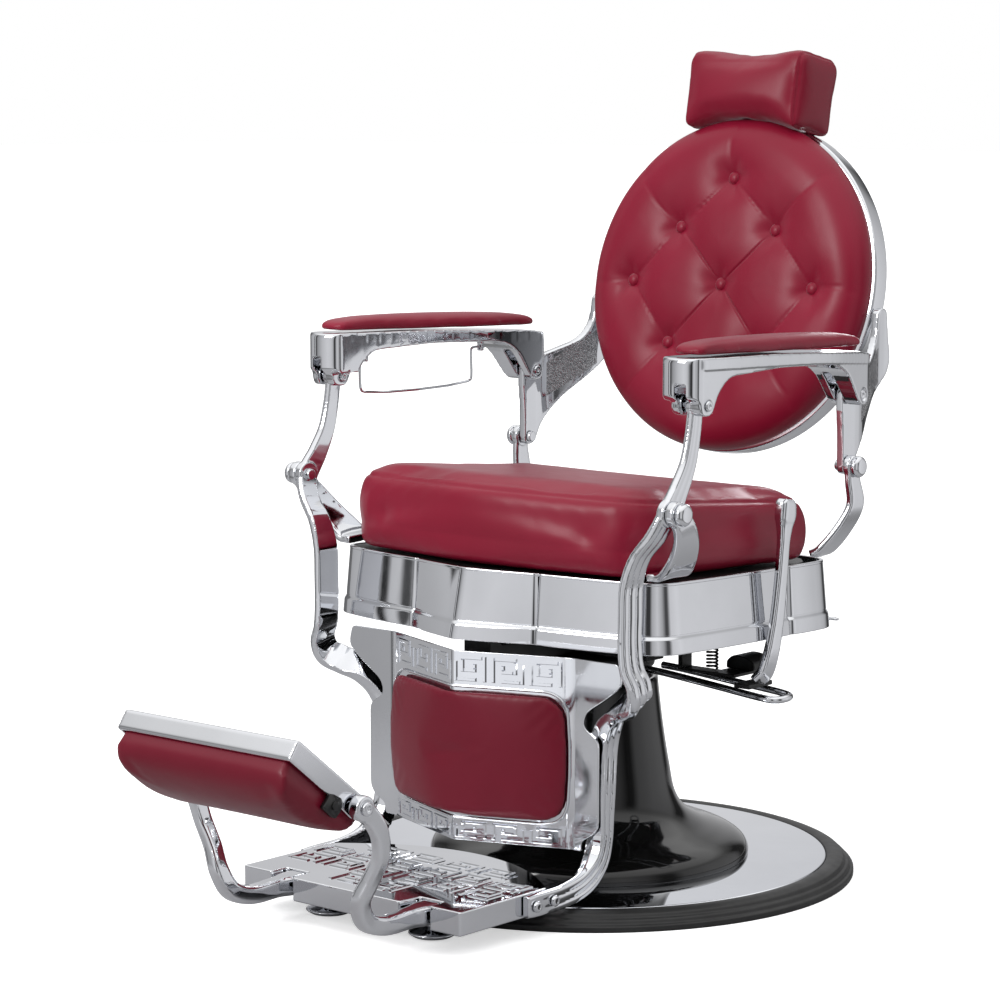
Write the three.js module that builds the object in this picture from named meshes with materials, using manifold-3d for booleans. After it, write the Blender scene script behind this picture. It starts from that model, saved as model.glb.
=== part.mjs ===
// Hydraulic barber chair with a round tufted back, cast side arms and a flip-up foot rest.
// Millimetres. +Z is up, the chair faces -Y, +X is the sitter's left, origin on the floor under the column.
import * as THREE from 'three';
import { mergeVertices } from 'three/addons/utils/BufferGeometryUtils.js';
import Module from 'manifold-3d';

const wasm = await Module();
wasm.setup();

// ---- driving dimensions ----
const GAP = 0.4;                  // air left between neighbouring pieces
const SIDES = 32;                 // facets round a small turned piece

const BASE_R = 375;               // outer radius of the rubber rim
const BASE_TOP = 24;              // top of the mirror plate
const PLATE_R = 336;              // radius of the mirror plate
const BELL_TOP = 277;             // top of the gloss column cover
const LIFT_TRAVEL = 150;          // how far the pump raises the seat

const SKIRT_TOP = 461;            // top edge of the chrome skirt at the prow
const SKIRT_LEAN = 0.037;         // how much the skirt drops for each millimetre towards the rear
const SKIRT_TALL = 95;
const SKIRT_WALL = 5;
const SKIRT_FLARE = 8;            // how far the lower edge stands out past the top edge
const PROW_FLARE = 14;            // and how much further it does so at the prow
const CUSHION_TOP = 551;          // seat cushion, height of its top at y = 19
const CUSHION_LEAN = 0.092;       // and how much it drops towards the rear

const LEVER_PIVOT = [-239, 558];  // y, z of the pivot of the front lever
const LEVER_PIN = [-185, 694];    // y, z of the front arm pin
const BACK_PIVOT = [203, 578];    // y, z of the pivot of the back
const BACK_PIN = [204, 679];      // y, z of the rear arm pin
const PIN_R = 4.5;
const PIVOT_R = 6;
const HOLE_PLAY = 0.25;           // radial room round a turning pin
const OPEN_PIVOT_R = 8;           // lever eye, left loose because this joint is opened

const BACK_CENTRE = [0, 281, 821];  // centre of the front face of the back
const BACK_TILT = 11.3;             // degrees the back leans from upright
const CUSHION_R = 243;
const CUSHION_DEPTH = 55;           // behind the front face
const SHELL_R = 246;
const SHELL_DEPTH = 87;

const PANEL_TOP = 350;            // calf panel
const PANEL_BOTTOM = 90;
const PANEL_WING_Y = -235;
const PANEL_PROW_Y = -293;
const LEG_X = 194;                // middle of the lower legs
const FOOTPLATE_TOP = 61;
const FOOTPLATE_BOTTOM = 29;
const FOOTPLATE_HALF = 195;
const GLIDE_X = 93;
const GLIDE_Y = -436;

const FLIP_PIVOT = [-646, 218];   // y, z of the flip foot rest hinge
const FLIP_HALF = 153;            // half width of its tray
const FLIP_BOLT_R = 6;
const FLIP_RISE = 35.4;           // degrees the tray slopes up towards its front edge

const HEAD_HINGE_UP = 270;        // headrest hinge, height up the back
const HEAD_HINGE_BEHIND = 122.5;  // and distance behind the front face of the back

const TOWEL_X = -301;             // towel bar
const TOWEL_Z = 718;
const TOWEL_ENDS = [-150, 118];
const TOWEL_WIRE_R = 2;

// ---- looks ----
const CHROME = { color: 0xd9dbdf, roughness: 0.08, metalness: 1.0 };
const MIRROR = { color: 0xe4e6ea, roughness: 0.04, metalness: 1.0 };
const LEATHER = { color: 0x8c2237, roughness: 0.5, metalness: 0.0 };
const GLOSS_BLACK = { color: 0x0b0b0c, roughness: 0.12, metalness: 0.0 };
const BLACK_STEEL = { color: 0x18181a, roughness: 0.45, metalness: 0.6 };
const RUBBER = { color: 0x1c1c1d, roughness: 0.75, metalness: 0.0 };

const chair = new THREE.Group();

// ---- helpers: closed meshes ----
// Welds a geometry, turns it to face out and leaves only positions and indices.
function weld(geometry) {
  const bare = geometry.clone();
  bare.deleteAttribute('normal');
  bare.deleteAttribute('uv');
  const welded = mergeVertices(bare, 1e-3);
  const index = Array.from(welded.index.array);
  const kept = [];
  for (let i = 0; i < index.length; i += 3) {
    const [a, b, c] = index.slice(i, i + 3);
    if (a !== b && b !== c && c !== a) kept.push(a, b, c);
  }
  welded.setIndex(kept);
  return facingOut(welded);
}

function facingOut(geometry) {
  const position = geometry.attributes.position;
  const index = geometry.index.array;
  const corner = [new THREE.Vector3(), new THREE.Vector3(), new THREE.Vector3()];
  let volume = 0;
  for (let i = 0; i < index.length; i += 3) {
    corner.forEach((v, k) => v.fromBufferAttribute(position, index[i + k]));
    volume += corner[0].dot(corner[1].clone().cross(corner[2]));
  }
  if (volume < 0) {
    const flipped = Array.from(index);
    for (let i = 0; i < flipped.length; i += 3) {
      [flipped[i + 1], flipped[i + 2]] = [flipped[i + 2], flipped[i + 1]];
    }
    geometry.setIndex(flipped);
  }
  return geometry;
}

function toManifold(geometry) {
  const welded = weld(geometry);
  return new wasm.Manifold(new wasm.Mesh({
    numProp: 3,
    vertProperties: new Float32Array(welded.attributes.position.array),
    triVerts: new Uint32Array(welded.index.array),
  }));
}

function fromManifold(manifold) {
  const mesh = manifold.getMesh();
  const geometry = new THREE.BufferGeometry();
  geometry.setAttribute('position', new THREE.BufferAttribute(new Float32Array(mesh.vertProperties), 3));
  geometry.setIndex(Array.from(mesh.triVerts));
  return geometry;
}

function join(...pieces) {
  return fromManifold(pieces.map(toManifold).reduce((a, b) => a.add(b)));
}

function cut(piece, ...tools) {
  return fromManifold(tools.map(toManifold).reduce((a, b) => a.subtract(b), toManifold(piece)));
}

function common(a, b) {
  return fromManifold(toManifold(a).intersect(toManifold(b)));
}

function mirrored(geometry) {
  return weld(geometry).clone().scale(-1, 1, 1);
}

function add(name, geometry, look) {
  const mesh = new THREE.Mesh(weld(geometry), new THREE.MeshStandardMaterial(look));
  mesh.name = name;
  chair.add(mesh);
}

// Adds the +X piece and its mirror image.
function addPair(name, geometry, look) {
  add(`${name}_left`, geometry, look);
  add(`${name}_right`, mirrored(geometry), look);
}

// ---- helpers: outlines and slabs ----
// Each corner is [a, b] or [a, b, radius]; a radius too large for its edges is made smaller.
function outline(corners) {
  const shape = new THREE.Shape();
  corners.forEach(([a, b, radius = 0], i) => {
    const here = new THREE.Vector2(a, b);
    const before = new THREE.Vector2(...corners.at(i - 1).slice(0, 2));
    const after = new THREE.Vector2(...corners[(i + 1) % corners.length].slice(0, 2));
    const reach = Math.min(radius, here.distanceTo(before) * 0.48, here.distanceTo(after) * 0.48);
    const start = here.clone().add(before.sub(here).setLength(reach));
    const end = here.clone().add(after.sub(here).setLength(reach));
    if (i === 0) shape.moveTo(start.x, start.y);
    else shape.lineTo(start.x, start.y);
    if (radius > 0) shape.quadraticCurveTo(here.x, here.y, end.x, end.y);
  });
  shape.closePath();
  return shape;
}

const PLANES = {
  xy: new THREE.Matrix4(),
  yz: new THREE.Matrix4().set(0, 0, 1, 0, 1, 0, 0, 0, 0, 1, 0, 0, 0, 0, 0, 1),
  xz: new THREE.Matrix4().set(1, 0, 0, 0, 0, 0, -1, 0, 0, 1, 0, 0, 0, 0, 0, 1),
};

// A flat outline given thickness, from low to high along the axis across its plane.
function slab(shape, plane, low, high, curveSegments = 5) {
  const depth = high - low;
  const options = { depth, bevelEnabled: false, curveSegments, steps: 1 };
  const geometry = new THREE.ExtrudeGeometry(shape, options);
  geometry.translate(0, 0, plane === 'xz' ? -high : low);
  return geometry.applyMatrix4(PLANES[plane]);
}

function box(x, y, z) {
  const shape = outline([[x[0], y[0]], [x[1], y[0]], [x[1], y[1]], [x[0], y[1]]]);
  return slab(shape, 'xy', z[0], z[1]);
}

// A turned piece about +Z; profile points are [radius, height].
function turned(profile, sides = SIDES) {
  const points = profile.map(([r, h]) => new THREE.Vector2(r, h));
  return new THREE.LatheGeometry(points, sides).rotateX(Math.PI / 2);
}

function ring(profile, sides = SIDES) {
  return turned([...profile, profile[0]], sides);
}

// A rod along X through (y, z).
function rodX(radius, x0, x1, y, z, sides = 20) {
  const rod = turned([[0, x0], [radius, x0], [radius, x1], [0, x1]], sides);
  return rod.rotateY(Math.PI / 2).translate(0, y, z);
}

// A turned piece about +X through (y, z); profile points are [radius, x].
function turnedX(profile, y, z, sides = 16) {
  return turned(profile, sides).rotateY(Math.PI / 2).translate(0, y, z);
}

// ---- helpers: swept bars ----
const AXIS = {
  x: new THREE.Vector3(1, 0, 0),
  y: new THREE.Vector3(0, 1, 0),
  z: new THREE.Vector3(0, 0, 1),
};

function square(vector, tangent) {
  return vector.clone().addScaledVector(tangent, -vector.dot(tangent)).normalize();
}

// Section of a flat bar in (thickness, width), chamfered, with optional grooves on its outer face.
function barSection(thick, width, groove, grooves) {
  const t = thick / 2;
  const w = width / 2;
  const c = Math.min(t, w) * 0.35;
  const points = [[-t, w - c], [-t, -w + c], [-t + c, -w], [t - c, -w], [t, -w + c]];
  for (let k = 0; k < grooves; k += 1) {
    const middle = -w + (width * (k + 1)) / (grooves + 1);
    points.push([t, middle - 3], [t - groove, middle], [t, middle + 3]);
  }
  points.push([t, w - c], [t - c, w], [-t + c, w]);
  return points;
}

function roundSection(radius, sides = 8) {
  return Array.from({ length: sides }, (_, i) => {
    const angle = (2 * Math.PI * i) / sides;
    return [radius * Math.cos(angle), radius * Math.sin(angle)];
  });
}

// Skins a list of closed loops, all with the same number of points, and caps both ends.
function skin(loops, closed = false) {
  const n = loops[0].length;
  const vertices = loops.flat().flatMap((p) => [p.x, p.y, p.z]);
  const index = [];
  const last = closed ? loops.length : loops.length - 1;
  for (let i = 0; i < last; i += 1) {
    for (let j = 0; j < n; j += 1) {
      const a = i * n + j;
      const b = i * n + ((j + 1) % n);
      const c = ((i + 1) % loops.length) * n + j;
      const d = ((i + 1) % loops.length) * n + ((j + 1) % n);
      index.push(a, b, d, a, d, c);
    }
  }
  if (!closed) {
    for (const [start, turn] of [[0, 1], [(loops.length - 1) * n, 0]]) {
      const centre = loops[start / n].reduce((sum, p) => sum.add(p), new THREE.Vector3()).divideScalar(n);
      vertices.push(centre.x, centre.y, centre.z);
      const middle = vertices.length / 3 - 1;
      for (let j = 0; j < n; j += 1) {
        const a = start + j;
        const b = start + ((j + 1) % n);
        index.push(...(turn ? [b, a, middle] : [a, b, middle]));
      }
    }
  }
  const geometry = new THREE.BufferGeometry();
  geometry.setAttribute('position', new THREE.Float32BufferAttribute(vertices, 3));
  geometry.setIndex(index);
  return geometry;
}

// Stacks copies of a plan outline into a cushion shape; levels are [height, scale across x, scale along y].
function dome(plan, levels, curveSegments = 3) {
  const points = plan.extractPoints(curveSegments).shape;
  const middle = points.reduce((sum, p) => sum.add(p), new THREE.Vector2()).divideScalar(points.length);
  return skin(levels.map(([height, sx, sy]) => points.map((p) => (
    new THREE.Vector3(middle.x + (p.x - middle.x) * sx, middle.y + (p.y - middle.y) * sy, height)
  ))));
}

// Sweeps a section along stations { at: [x, y, z], ...numbers }. The flat side follows `flat` (an axis the
// thickness follows) or `wide` (an axis the width follows). Numbers are blended between the stations.
function sweep(stations, { flat, wide, sectionOf, samples = 28, loop = false }) {
  const places = stations.map((s) => new THREE.Vector3(...s.at));
  const curve = new THREE.CatmullRomCurve3(places, loop, 'centripetal');
  const keys = Object.keys(stations[0]).filter((key) => key !== 'at');
  const spans = loop ? stations.length : stations.length - 1;
  const loops = [];
  const count = loop ? samples : samples + 1;
  for (let i = 0; i < count; i += 1) {
    const t = i / samples;
    const along = t * spans;
    const k = Math.min(Math.floor(along), spans - 1);
    const values = {};
    const next = stations[(k + 1) % stations.length];
    for (const key of keys) {
      values[key] = THREE.MathUtils.lerp(stations[k][key], next[key], along - k);
    }
    const tangent = curve.getTangent(t);
    const a = flat ? square(flat, tangent) : square(wide, tangent).cross(tangent);
    const b = tangent.clone().cross(a);
    const centre = curve.getPoint(t);
    loops.push(sectionOf(values).map(([p, q]) => (
      centre.clone().addScaledVector(a, p).addScaledVector(b, q)
    )));
  }
  return skin(loops, loop);
}

const plainBar = ({ thick, width }) => barSection(thick, width, 0, 0);
const ribbedBar = ({ thick, width, groove }) => barSection(thick, width, groove, 2);

// ================= base =================
add('base_plate', turned([
  [0, 0], [PLATE_R, 0], [PLATE_R, 21], [PLATE_R - 3, BASE_TOP], [0, BASE_TOP],
], 56), MIRROR);

add('base_rim', ring([
  [PLATE_R + GAP, 0], [BASE_R, 0], [BASE_R - 1, 8], [BASE_R - 6, 9], [BASE_R - 8, 16], [BASE_R - 14, 17],
  [BASE_R - 19, 23], [PLATE_R + GAP, 23.5],
], 56), RUBBER);

// Thin cover: its outer profile runs from the lip to the neck, its inner one back down.
const BELL_OUTER = [
  [225, BASE_TOP + GAP], [225.5, 31], [220, 43], [208, 54], [190, 61.5], [160, 71], [135, 86],
  [121, 108], [114, 151], [104, 208], [96, BELL_TOP],
];
const BELL_INNER = [
  [90, BELL_TOP], [98, 208], [115, 108], [130, 80], [160, 62], [205, 48], [219, BASE_TOP + GAP],
];
add('bell_cover', ring([...BELL_OUTER, ...BELL_INNER], 36), GLOSS_BLACK);

add('pump_cylinder', ring([
  [46, BASE_TOP + GAP], [70, BASE_TOP + GAP], [70, 40], [58, 44], [58, 240], [46, 240],
]), BLACK_STEEL);

// ================= lifting piston and turntable =================
add('piston', turned([[0, 60], [45, 60], [45, 278], [80, 280], [80, 290], [0, 290]]), CHROME);

add('turntable', turned([
  [0, 290 + GAP], [88, 290 + GAP], [92, 294], [92, 312], [70, 319], [0, 319],
]), BLACK_STEEL);

// ================= seat frame =================
add('subframe', join(
  box([-150, 150], [-60, -22], [319 + GAP, 347]),
  box([-150, 150], [60, 98], [319 + GAP, 347]),
  box([-24, 24], [-242, 170], [319 + GAP, 350]),
  box([-150, -118], [-60, 98], [330, 424]),
  box([118, 150], [-60, 98], [330, 424]),
  box([-24, 24], [-242, -218], [340, 436]),
  box([-70, 70], [-60, 98], [319 + GAP, 330]),
), BLACK_STEEL);

// Plan of the skirt's top edge on the +X side, from the prow to the rear.
// A shallow groove parts each facet.
const SKIRT_HALF = [
  [0, -270], [103, -245], [108, -239], [113, -240.5], [118, -244], [243, -222], [266, -214], [279, -200],
  [285, -178], [281, -60], [272, 88], [267.5, 93], [267.5, 98], [271, 104], [266, 138], [254, 170],
  [232, 196], [200, 214],
  [120, 226], [0, 230],
];
const SKIRT_PLAN = [...SKIRT_HALF, ...SKIRT_HALF.slice(1, -1).reverse().map(([x, y]) => [-x, y])];

function outward(plan, i) {
  const before = new THREE.Vector2(...plan.at(i - 1));
  const after = new THREE.Vector2(...plan[(i + 1) % plan.length]);
  const side = after.sub(before).normalize();
  return new THREE.Vector2(side.y, -side.x);
}

function skirtTop(y) {
  return SKIRT_TOP - SKIRT_LEAN * (y + 290);
}

// Section of the skirt wall as [how far out, height above the lower edge].
const SKIRT_SECTION = [
  [4, 0], [4, 20], [-1, 24], [-1, 26], [0, 29], [0, SKIRT_TALL - 5], [1, SKIRT_TALL - 3], [1, SKIRT_TALL],
  [-SKIRT_WALL, SKIRT_TALL], [-SKIRT_WALL, 0],
];

// The wall leans out towards its lower edge, most of all at the prow.
function skirtGeometry() {
  const loops = SKIRT_PLAN.map(([x, y], i) => {
    const out = outward(SKIRT_PLAN, i);
    const prow = y < 0 ? Math.max(0, 1 - Math.abs(x) / 108) : 0;
    return SKIRT_SECTION.map(([reach, height]) => {
      const drop = 1 - height / SKIRT_TALL;
      const away = reach + SKIRT_FLARE * drop;
      return new THREE.Vector3(
        x + out.x * away,
        y + out.y * away - PROW_FLARE * prow * drop,
        skirtTop(y) - SKIRT_TALL + height,
      );
    });
  });
  return skin(loops, true);
}

add('seat_skirt', skirtGeometry(), CHROME);

// Leans a flat slab to follow the top edge of the skirt.
function leaning(geometry) {
  const lean = new THREE.Matrix4().set(1, 0, 0, 0, 0, 1, 0, 0, 0, -SKIRT_LEAN, 1, 0, 0, 0, 0, 1);
  return geometry.applyMatrix4(lean);
}

// Deck that fills the skirt and carries the cushion.
const DECK_SHAPE = outline(SKIRT_PLAN.map(([x, y], i) => {
  const out = outward(SKIRT_PLAN, i);
  return [x - out.x * (SKIRT_WALL + 1.5), y - out.y * (SKIRT_WALL + 1.5)];
}));
add('seat_deck', leaning(slab(DECK_SHAPE, 'xy', skirtTop(0) - 21, skirtTop(0) - 1)), BLACK_STEEL);

// Wedge-shaped seat cushion, thicker towards the front. Soft solid.
const CUSHION_PLAN = outline([
  [0, -262, 60], [236, -226, 40], [269, -190, 40], [265, 156, 24], [242, 162, 20], [-242, 162, 20],
  [-265, 156, 24], [-269, -190, 40], [-236, -226, 40],
]);
// Rows of the cushion's side wall: [share of the height, how far in].
const CUSHION_ROWS = [[0, 13], [0.05, 5], [0.14, 0.5], [0.45, 0], [0.78, 1], [0.9, 5], [0.97, 13], [1, 30]];
function cushionGeometry() {
  const points = CUSHION_PLAN.extractPoints(5).shape;
  const plan = points.map((p) => [p.x, p.y]);
  return skin(CUSHION_ROWS.map(([share, inset]) => points.map((p, i) => {
    const out = outward(plan, i);
    const y = p.y - out.y * inset;
    const low = skirtTop(y) + 2 + GAP;
    const high = CUSHION_TOP - CUSHION_LEAN * (y - 19);
    return new THREE.Vector3(p.x - out.x * inset, y, low + share * (high - low));
  })));
}
add('seat_cushion', cushionGeometry(), LEATHER);

// Tools that face an eye flat on both sides, so that its neighbours on the pin run free.
function faced(x0, x1, y, z, radius = 19) {
  return [rodX(radius, x0 - 15, x0, y, z), rodX(radius, x1, x1 + 15, y, z)];
}

// Seat-frame brackets that carry the two pivots on each side.
function pivotBracket(stations, y, z, x0, x1, radius) {
  const strap = sweep(stations, { wide: AXIS.y, sectionOf: plainBar, samples: 12 });
  const eye = rodX(radius, x0, x1, y, z);
  return cut(join(strap, eye), rodX(PIVOT_R + HOLE_PLAY, x0 - 5, x1 + 5, y, z), ...faced(x0, x1, y, z));
}

const FRONT_BRACKET = pivotBracket([
  { at: [273, -180, 466.5], thick: 12, width: 66 },
  { at: [287, -182, 468.5], thick: 12, width: 64 },
  { at: [307, -190, 486], thick: 12.5, width: 56 },
  { at: [327, -205, 514], thick: 13, width: 45 },
  { at: [336.5, -222, 539], thick: 13, width: 36 },
  { at: [337.5, -236, 556], thick: 13, width: 32 },
], LEVER_PIVOT[0], LEVER_PIVOT[1], 331, 344, 17);
addPair('front_bracket', FRONT_BRACKET, CHROME);

const REAR_BRACKET = pivotBracket([
  { at: [259, 178, 453.5], thick: 12, width: 46 },
  { at: [273, 183, 461], thick: 12, width: 44 },
  { at: [293, 197, 490], thick: 12, width: 38 },
  { at: [305, 209, 524], thick: 12, width: 34 },
  { at: [304, 204, 557], thick: 12, width: 28 },
  { at: [303, 203, 574], thick: 12, width: 26 },
], BACK_PIVOT[0], BACK_PIVOT[1], 297, 309, 15.5);
addPair('rear_bracket', REAR_BRACKET, CHROME);

// Pivot knobs: inner bolt head, shank through both castings, domed outer knob.
function knob(inner, head, shankEnd, outer, radius, y, z) {
  return turnedX([
    [0, inner], [6.5, inner], [8.5, inner + 1.5], [8.5, head], [PIVOT_R, head], [PIVOT_R, shankEnd],
    [radius - 2, shankEnd], [radius, shankEnd + 2], [radius, outer - 5], [radius * 0.8, outer - 1.5],
    [0, outer],
  ], y, z);
}
addPair('front_knob', knob(312, 317.5, 344 + GAP, 357, 15, LEVER_PIVOT[0], LEVER_PIVOT[1]), CHROME);
addPair('rear_knob', knob(278, 283.5, 309 + GAP, 322, 15, BACK_PIVOT[0], BACK_PIVOT[1]), CHROME);

// Return spring between the frame and the pump handle guard.
function springGeometry() {
  const turns = 6;
  const steps = 54;
  const points = Array.from({ length: steps + 1 }, (_, i) => {
    const angle = (2 * Math.PI * turns * i) / steps;
    return new THREE.Vector3(7.5 * Math.cos(angle), 7.5 * Math.sin(angle), (34 * i) / steps);
  });
  const loops = points.map((p, i) => {
    const before = points[Math.max(i - 1, 0)];
    const after = points[Math.min(i + 1, steps)];
    const tangent = after.clone().sub(before).normalize();
    const a = square(new THREE.Vector3(p.x, p.y, 0), tangent);
    const b = tangent.clone().cross(a);
    return roundSection(1.5, 5).map(([s, t]) => (
      p.clone().addScaledVector(a, s).addScaledVector(b, t)
    ));
  });
  return skin(loops);
}
add('return_spring', springGeometry().translate(200, 22, 306), BLACK_STEEL);

// Frame arm under the seat that holds the spring foot and the guard.
add('spring_bracket', join(
  box([150 + GAP, 248], [9, 32], [299.5, 303.5]),
  box([208, 248], [9, 86], [299.5, 303.5]),
  box([150 + GAP, 158], [9, 31], [299.5, 400]),
), BLACK_STEEL);

add('handle_guard', slab(outline([
  [206, 303.5 + GAP], [254, 303.5 + GAP, 4], [254, 314, 8], [236, 323, 12], [216, 323, 10], [206, 314, 4],
]), 'xz', 46, 90), BLACK_STEEL);

// Small wire ring at the rear corner of the skirt.
function wire(points, radius, samples, sides = 6) {
  return sweep(points.map((at) => ({ at })), {
    flat: new THREE.Vector3(0.31, 0.17, 0.93).normalize(),
    sectionOf: () => roundSection(radius, sides),
    samples,
  });
}
add('rear_ring', wire([
  [206, 231, 352], [236, 238, 352], [250, 248, 351], [242, 257, 350], [226, 254, 350], [196, 238, 350],
], 2, 22), CHROME);

// ================= back =================
const backTurn = new THREE.Matrix4().makeRotationX(THREE.MathUtils.degToRad(-BACK_TILT));
// Moves a piece made in back coordinates (x across, y behind the front face, z up the back) into place.
function onBack(geometry) {
  return geometry.applyMatrix4(backTurn).translate(...BACK_CENTRE);
}

// A turned piece whose axis is the axis of the round back.
// Profile points are [radius, behind the front face].
function turnedBack(profile, sides = 44) {
  return onBack(turned(profile, sides).rotateX(-Math.PI / 2));
}

add('back_cushion', turnedBack([
  [0, -2], [70, -2], [130, -2], [180, -1], [207, 3], [226, 11], [238, 22], [CUSHION_R + 1, 39],
  [CUSHION_R - 2, CUSHION_DEPTH], [0, CUSHION_DEPTH],
]), LEATHER);

add('back_shell', turnedBack([
  [0, CUSHION_DEPTH + GAP], [SHELL_R - 2, CUSHION_DEPTH + GAP], [SHELL_R, CUSHION_DEPTH + 3],
  [SHELL_R, SHELL_DEPTH - 4], [SHELL_R - 3, SHELL_DEPTH], [232, 92], [190, 101], [110, 108], [0, 110],
]), CHROME);

// Side casting of the back: lower pivot eye, arm pin eye and a web that sweeps up to the shell.
const BRACKET_SHAPE = outline([
  [192, 566, 12], [214, 566, 12], [228, 596, 16], [262, 634, 20], [304, 664, 20], [348, 694, 10],
  [356, 716, 8], [350, 748, 12], [346, 790, 13], [322, 788, 13], [318, 752, 14], [298, 722, 20],
  [216, 694, 12], [190, 692, 12], [188, 660, 14], [192, 620, 20],
]);
// Seen from above the casting runs straight past the two pins, then sweeps in to the shell.
const BRACKET_PLAN = outline([
  [284, 180], [296, 180], [296, 236, 16], [262, 318, 30], [262, 360], [250, 360], [250, 316, 30],
  [284, 234, 16],
]);
const BACK_BRACKET = cut(
  common(slab(BRACKET_SHAPE, 'yz', 240, 300, 3), slab(BRACKET_PLAN, 'xy', 550, 800, 3)),
  rodX(PIVOT_R + HOLE_PLAY, 270, 310, ...BACK_PIVOT),
  rodX(PIN_R + HOLE_PLAY, 270, 310, ...BACK_PIN),
);
addPair('back_bracket', BACK_BRACKET, CHROME);

// Headrest post in its guide behind the shell.
add('headrest_guide', onBack(cut(
  box([-34, 34], [110 + GAP, 134], [40, 200]),
  box([-20.5, 20.5], [118, 127], [30, 210]),
)), CHROME);
// A rod across the back on the axis of the headrest hinge.
function headRod(x0, x1, radius) {
  return rodX(radius, x0, x1, HEAD_HINGE_BEHIND, HEAD_HINGE_UP);
}

const KNUCKLE_R = 8.5;
const HEAD_PIN_R = 4;
const HINGE_LOW = HEAD_HINGE_UP - KNUCKLE_R;
const HINGE_HIGH = HEAD_HINGE_UP + KNUCKLE_R;
add('headrest_post', onBack(cut(
  join(
    box([-20, 20], [118.5, 126.5], [-30, HINGE_LOW - GAP]),
    box([-12, 12], [118.5, 126.5], [HINGE_LOW - 2, HEAD_HINGE_UP]),
    headRod(-12, 12, KNUCKLE_R),
  ),
  headRod(-30, 30, HEAD_PIN_R + HOLE_PLAY),
)), CHROME);

add('headrest_yoke', onBack(join(
  box([-26, -12.5], [110, HEAD_HINGE_BEHIND], [HINGE_LOW, HINGE_HIGH]),
  box([12.5, 26], [110, HEAD_HINGE_BEHIND], [HINGE_LOW, HINGE_HIGH]),
  headRod(-26, -12.5, KNUCKLE_R),
  headRod(12.5, 26, KNUCKLE_R),
  headRod(-20, 20, HEAD_PIN_R),
  box([-60, 60], [105.5, 112], [252, 312]),
)), CHROME);

// Bow-tie headrest pad: waisted in the middle, taller at both ends. Soft solid.
const PILLOW_SHAPE = outline([
  [-104, 227, 14], [-92, 231, 12], [-50, 245, 30], [0, 250, 40], [50, 245, 30], [92, 231, 12],
  [104, 227, 14], [106, 334, 14], [95, 346, 12], [50, 338, 40], [0, 333, 50], [-50, 338, 40],
  [-95, 346, 12], [-106, 334, 14],
]);
const PILLOW_DEPTH = 97;
function pillowGeometry() {
  const block = dome(PILLOW_SHAPE, [
    [0, 0.93, 0.88], [4, 0.98, 0.96], [12, 1, 1], [85, 1, 1], [93, 0.98, 0.96], [PILLOW_DEPTH, 0.93, 0.88],
  ]);
  return block.applyMatrix4(PLANES.xz).translate(0, 105, 0);
}
add('headrest_pad', onBack(pillowGeometry()), LEATHER);

// ================= arms =================
// Side view of the arm: beam with a front clevis and a rear clevis below it.
const ARM_SIDE = outline([
  [-209, 705, 4], [-202, 701, 4], [-199, 681, 10], [-178, 680, 12], [-164, 710, 14], [-140, 729, 14],
  [-20, 733, 30], [120, 727, 24], [156, 713, 24], [178, 684, 12], [194, 664, 10], [216, 664, 12],
  [223, 690, 8], [226, 726, 16], [206, 739, 18], [-20, 752, 30], [-209, 757, 8],
]);
const ARM_PLAN = outline([
  [288, -209, 8], [347, -209, 12], [349, -120, 40], [337, 100, 40], [318, 226, 12], [272, 226, 8],
  [266, 100, 40], [284, -120, 40],
]);
const ARM_FRAME = cut(
  common(slab(ARM_SIDE, 'yz', 255, 360, 3), slab(ARM_PLAN, 'xy', 650, 780, 3)),
  box([315.5, 332.5], [-213, -140], [670, 722]),
  box([270, 302], [-213, -140], [670, 700]),
  box([283, 297.5], [150, 228], [650, 712]),
  rodX(PIN_R + HOLE_PLAY, 270, 360, ...LEVER_PIN),
  rodX(PIN_R + HOLE_PLAY, 260, 330, ...BACK_PIN),
  ...faced(302, 346.5, ...LEVER_PIN, 9),
  ...faced(272, 317, ...BACK_PIN, 9),
);
add('arm_frame_left', ARM_FRAME, CHROME);

// The -X arm also has two lugs under it for the towel bar.
function towelLug(y) {
  const block = box([TOWEL_X - 5, TOWEL_X + 5], [y - 3, y + 3], [TOWEL_Z - 6, TOWEL_Z + 22]);
  const hole = rodX(TOWEL_WIRE_R + 0.8, -10, 10, 0, 0, 12).rotateZ(Math.PI / 2);
  hole.translate(TOWEL_X, y, TOWEL_Z);
  return cut(block, hole);
}
add('arm_frame_right', join(
  mirrored(ARM_FRAME), towelLug(TOWEL_ENDS[0] + 9), towelLug(TOWEL_ENDS[1] - 9),
), CHROME);

const ARM_SLOPE = Math.atan2(14, 436);
const PAD_PLAN = outline([
  [293, -197, 14], [343, -197, 14], [345, -110, 40], [334, 100, 40], [315, 213, 16], [277, 213, 16],
  [270, 100, 40], [288, -110, 40],
]);
// Padded top, resting along the sloping top of the arm. Soft solid.
function restingPad() {
  const pad = dome(PAD_PLAN, [
    [0, 0.98, 0.99], [5, 1, 1], [11, 0.98, 0.98], [15, 0.88, 0.9], [18, 0.7, 0.72], [19, 0.3, 0.4],
  ]);
  return pad.rotateX(-ARM_SLOPE).translate(0, 0, 753.4);
}
addPair('arm_pad', restingPad(), LEATHER);

function armPin(x0, x1, y, z) {
  return turnedX([
    [0, x0 - 2.5], [6, x0 - 2.5], [7, x0 - GAP], [PIN_R, x0 - GAP], [PIN_R, x1 + GAP], [7, x1 + GAP],
    [6, x1 + 2.5], [0, x1 + 2.5],
  ], y, z, 14);
}
addPair('front_arm_pin', armPin(302, 346.5, ...LEVER_PIN), CHROME);
addPair('rear_arm_pin', armPin(272, 317, ...BACK_PIN), CHROME);

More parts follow.
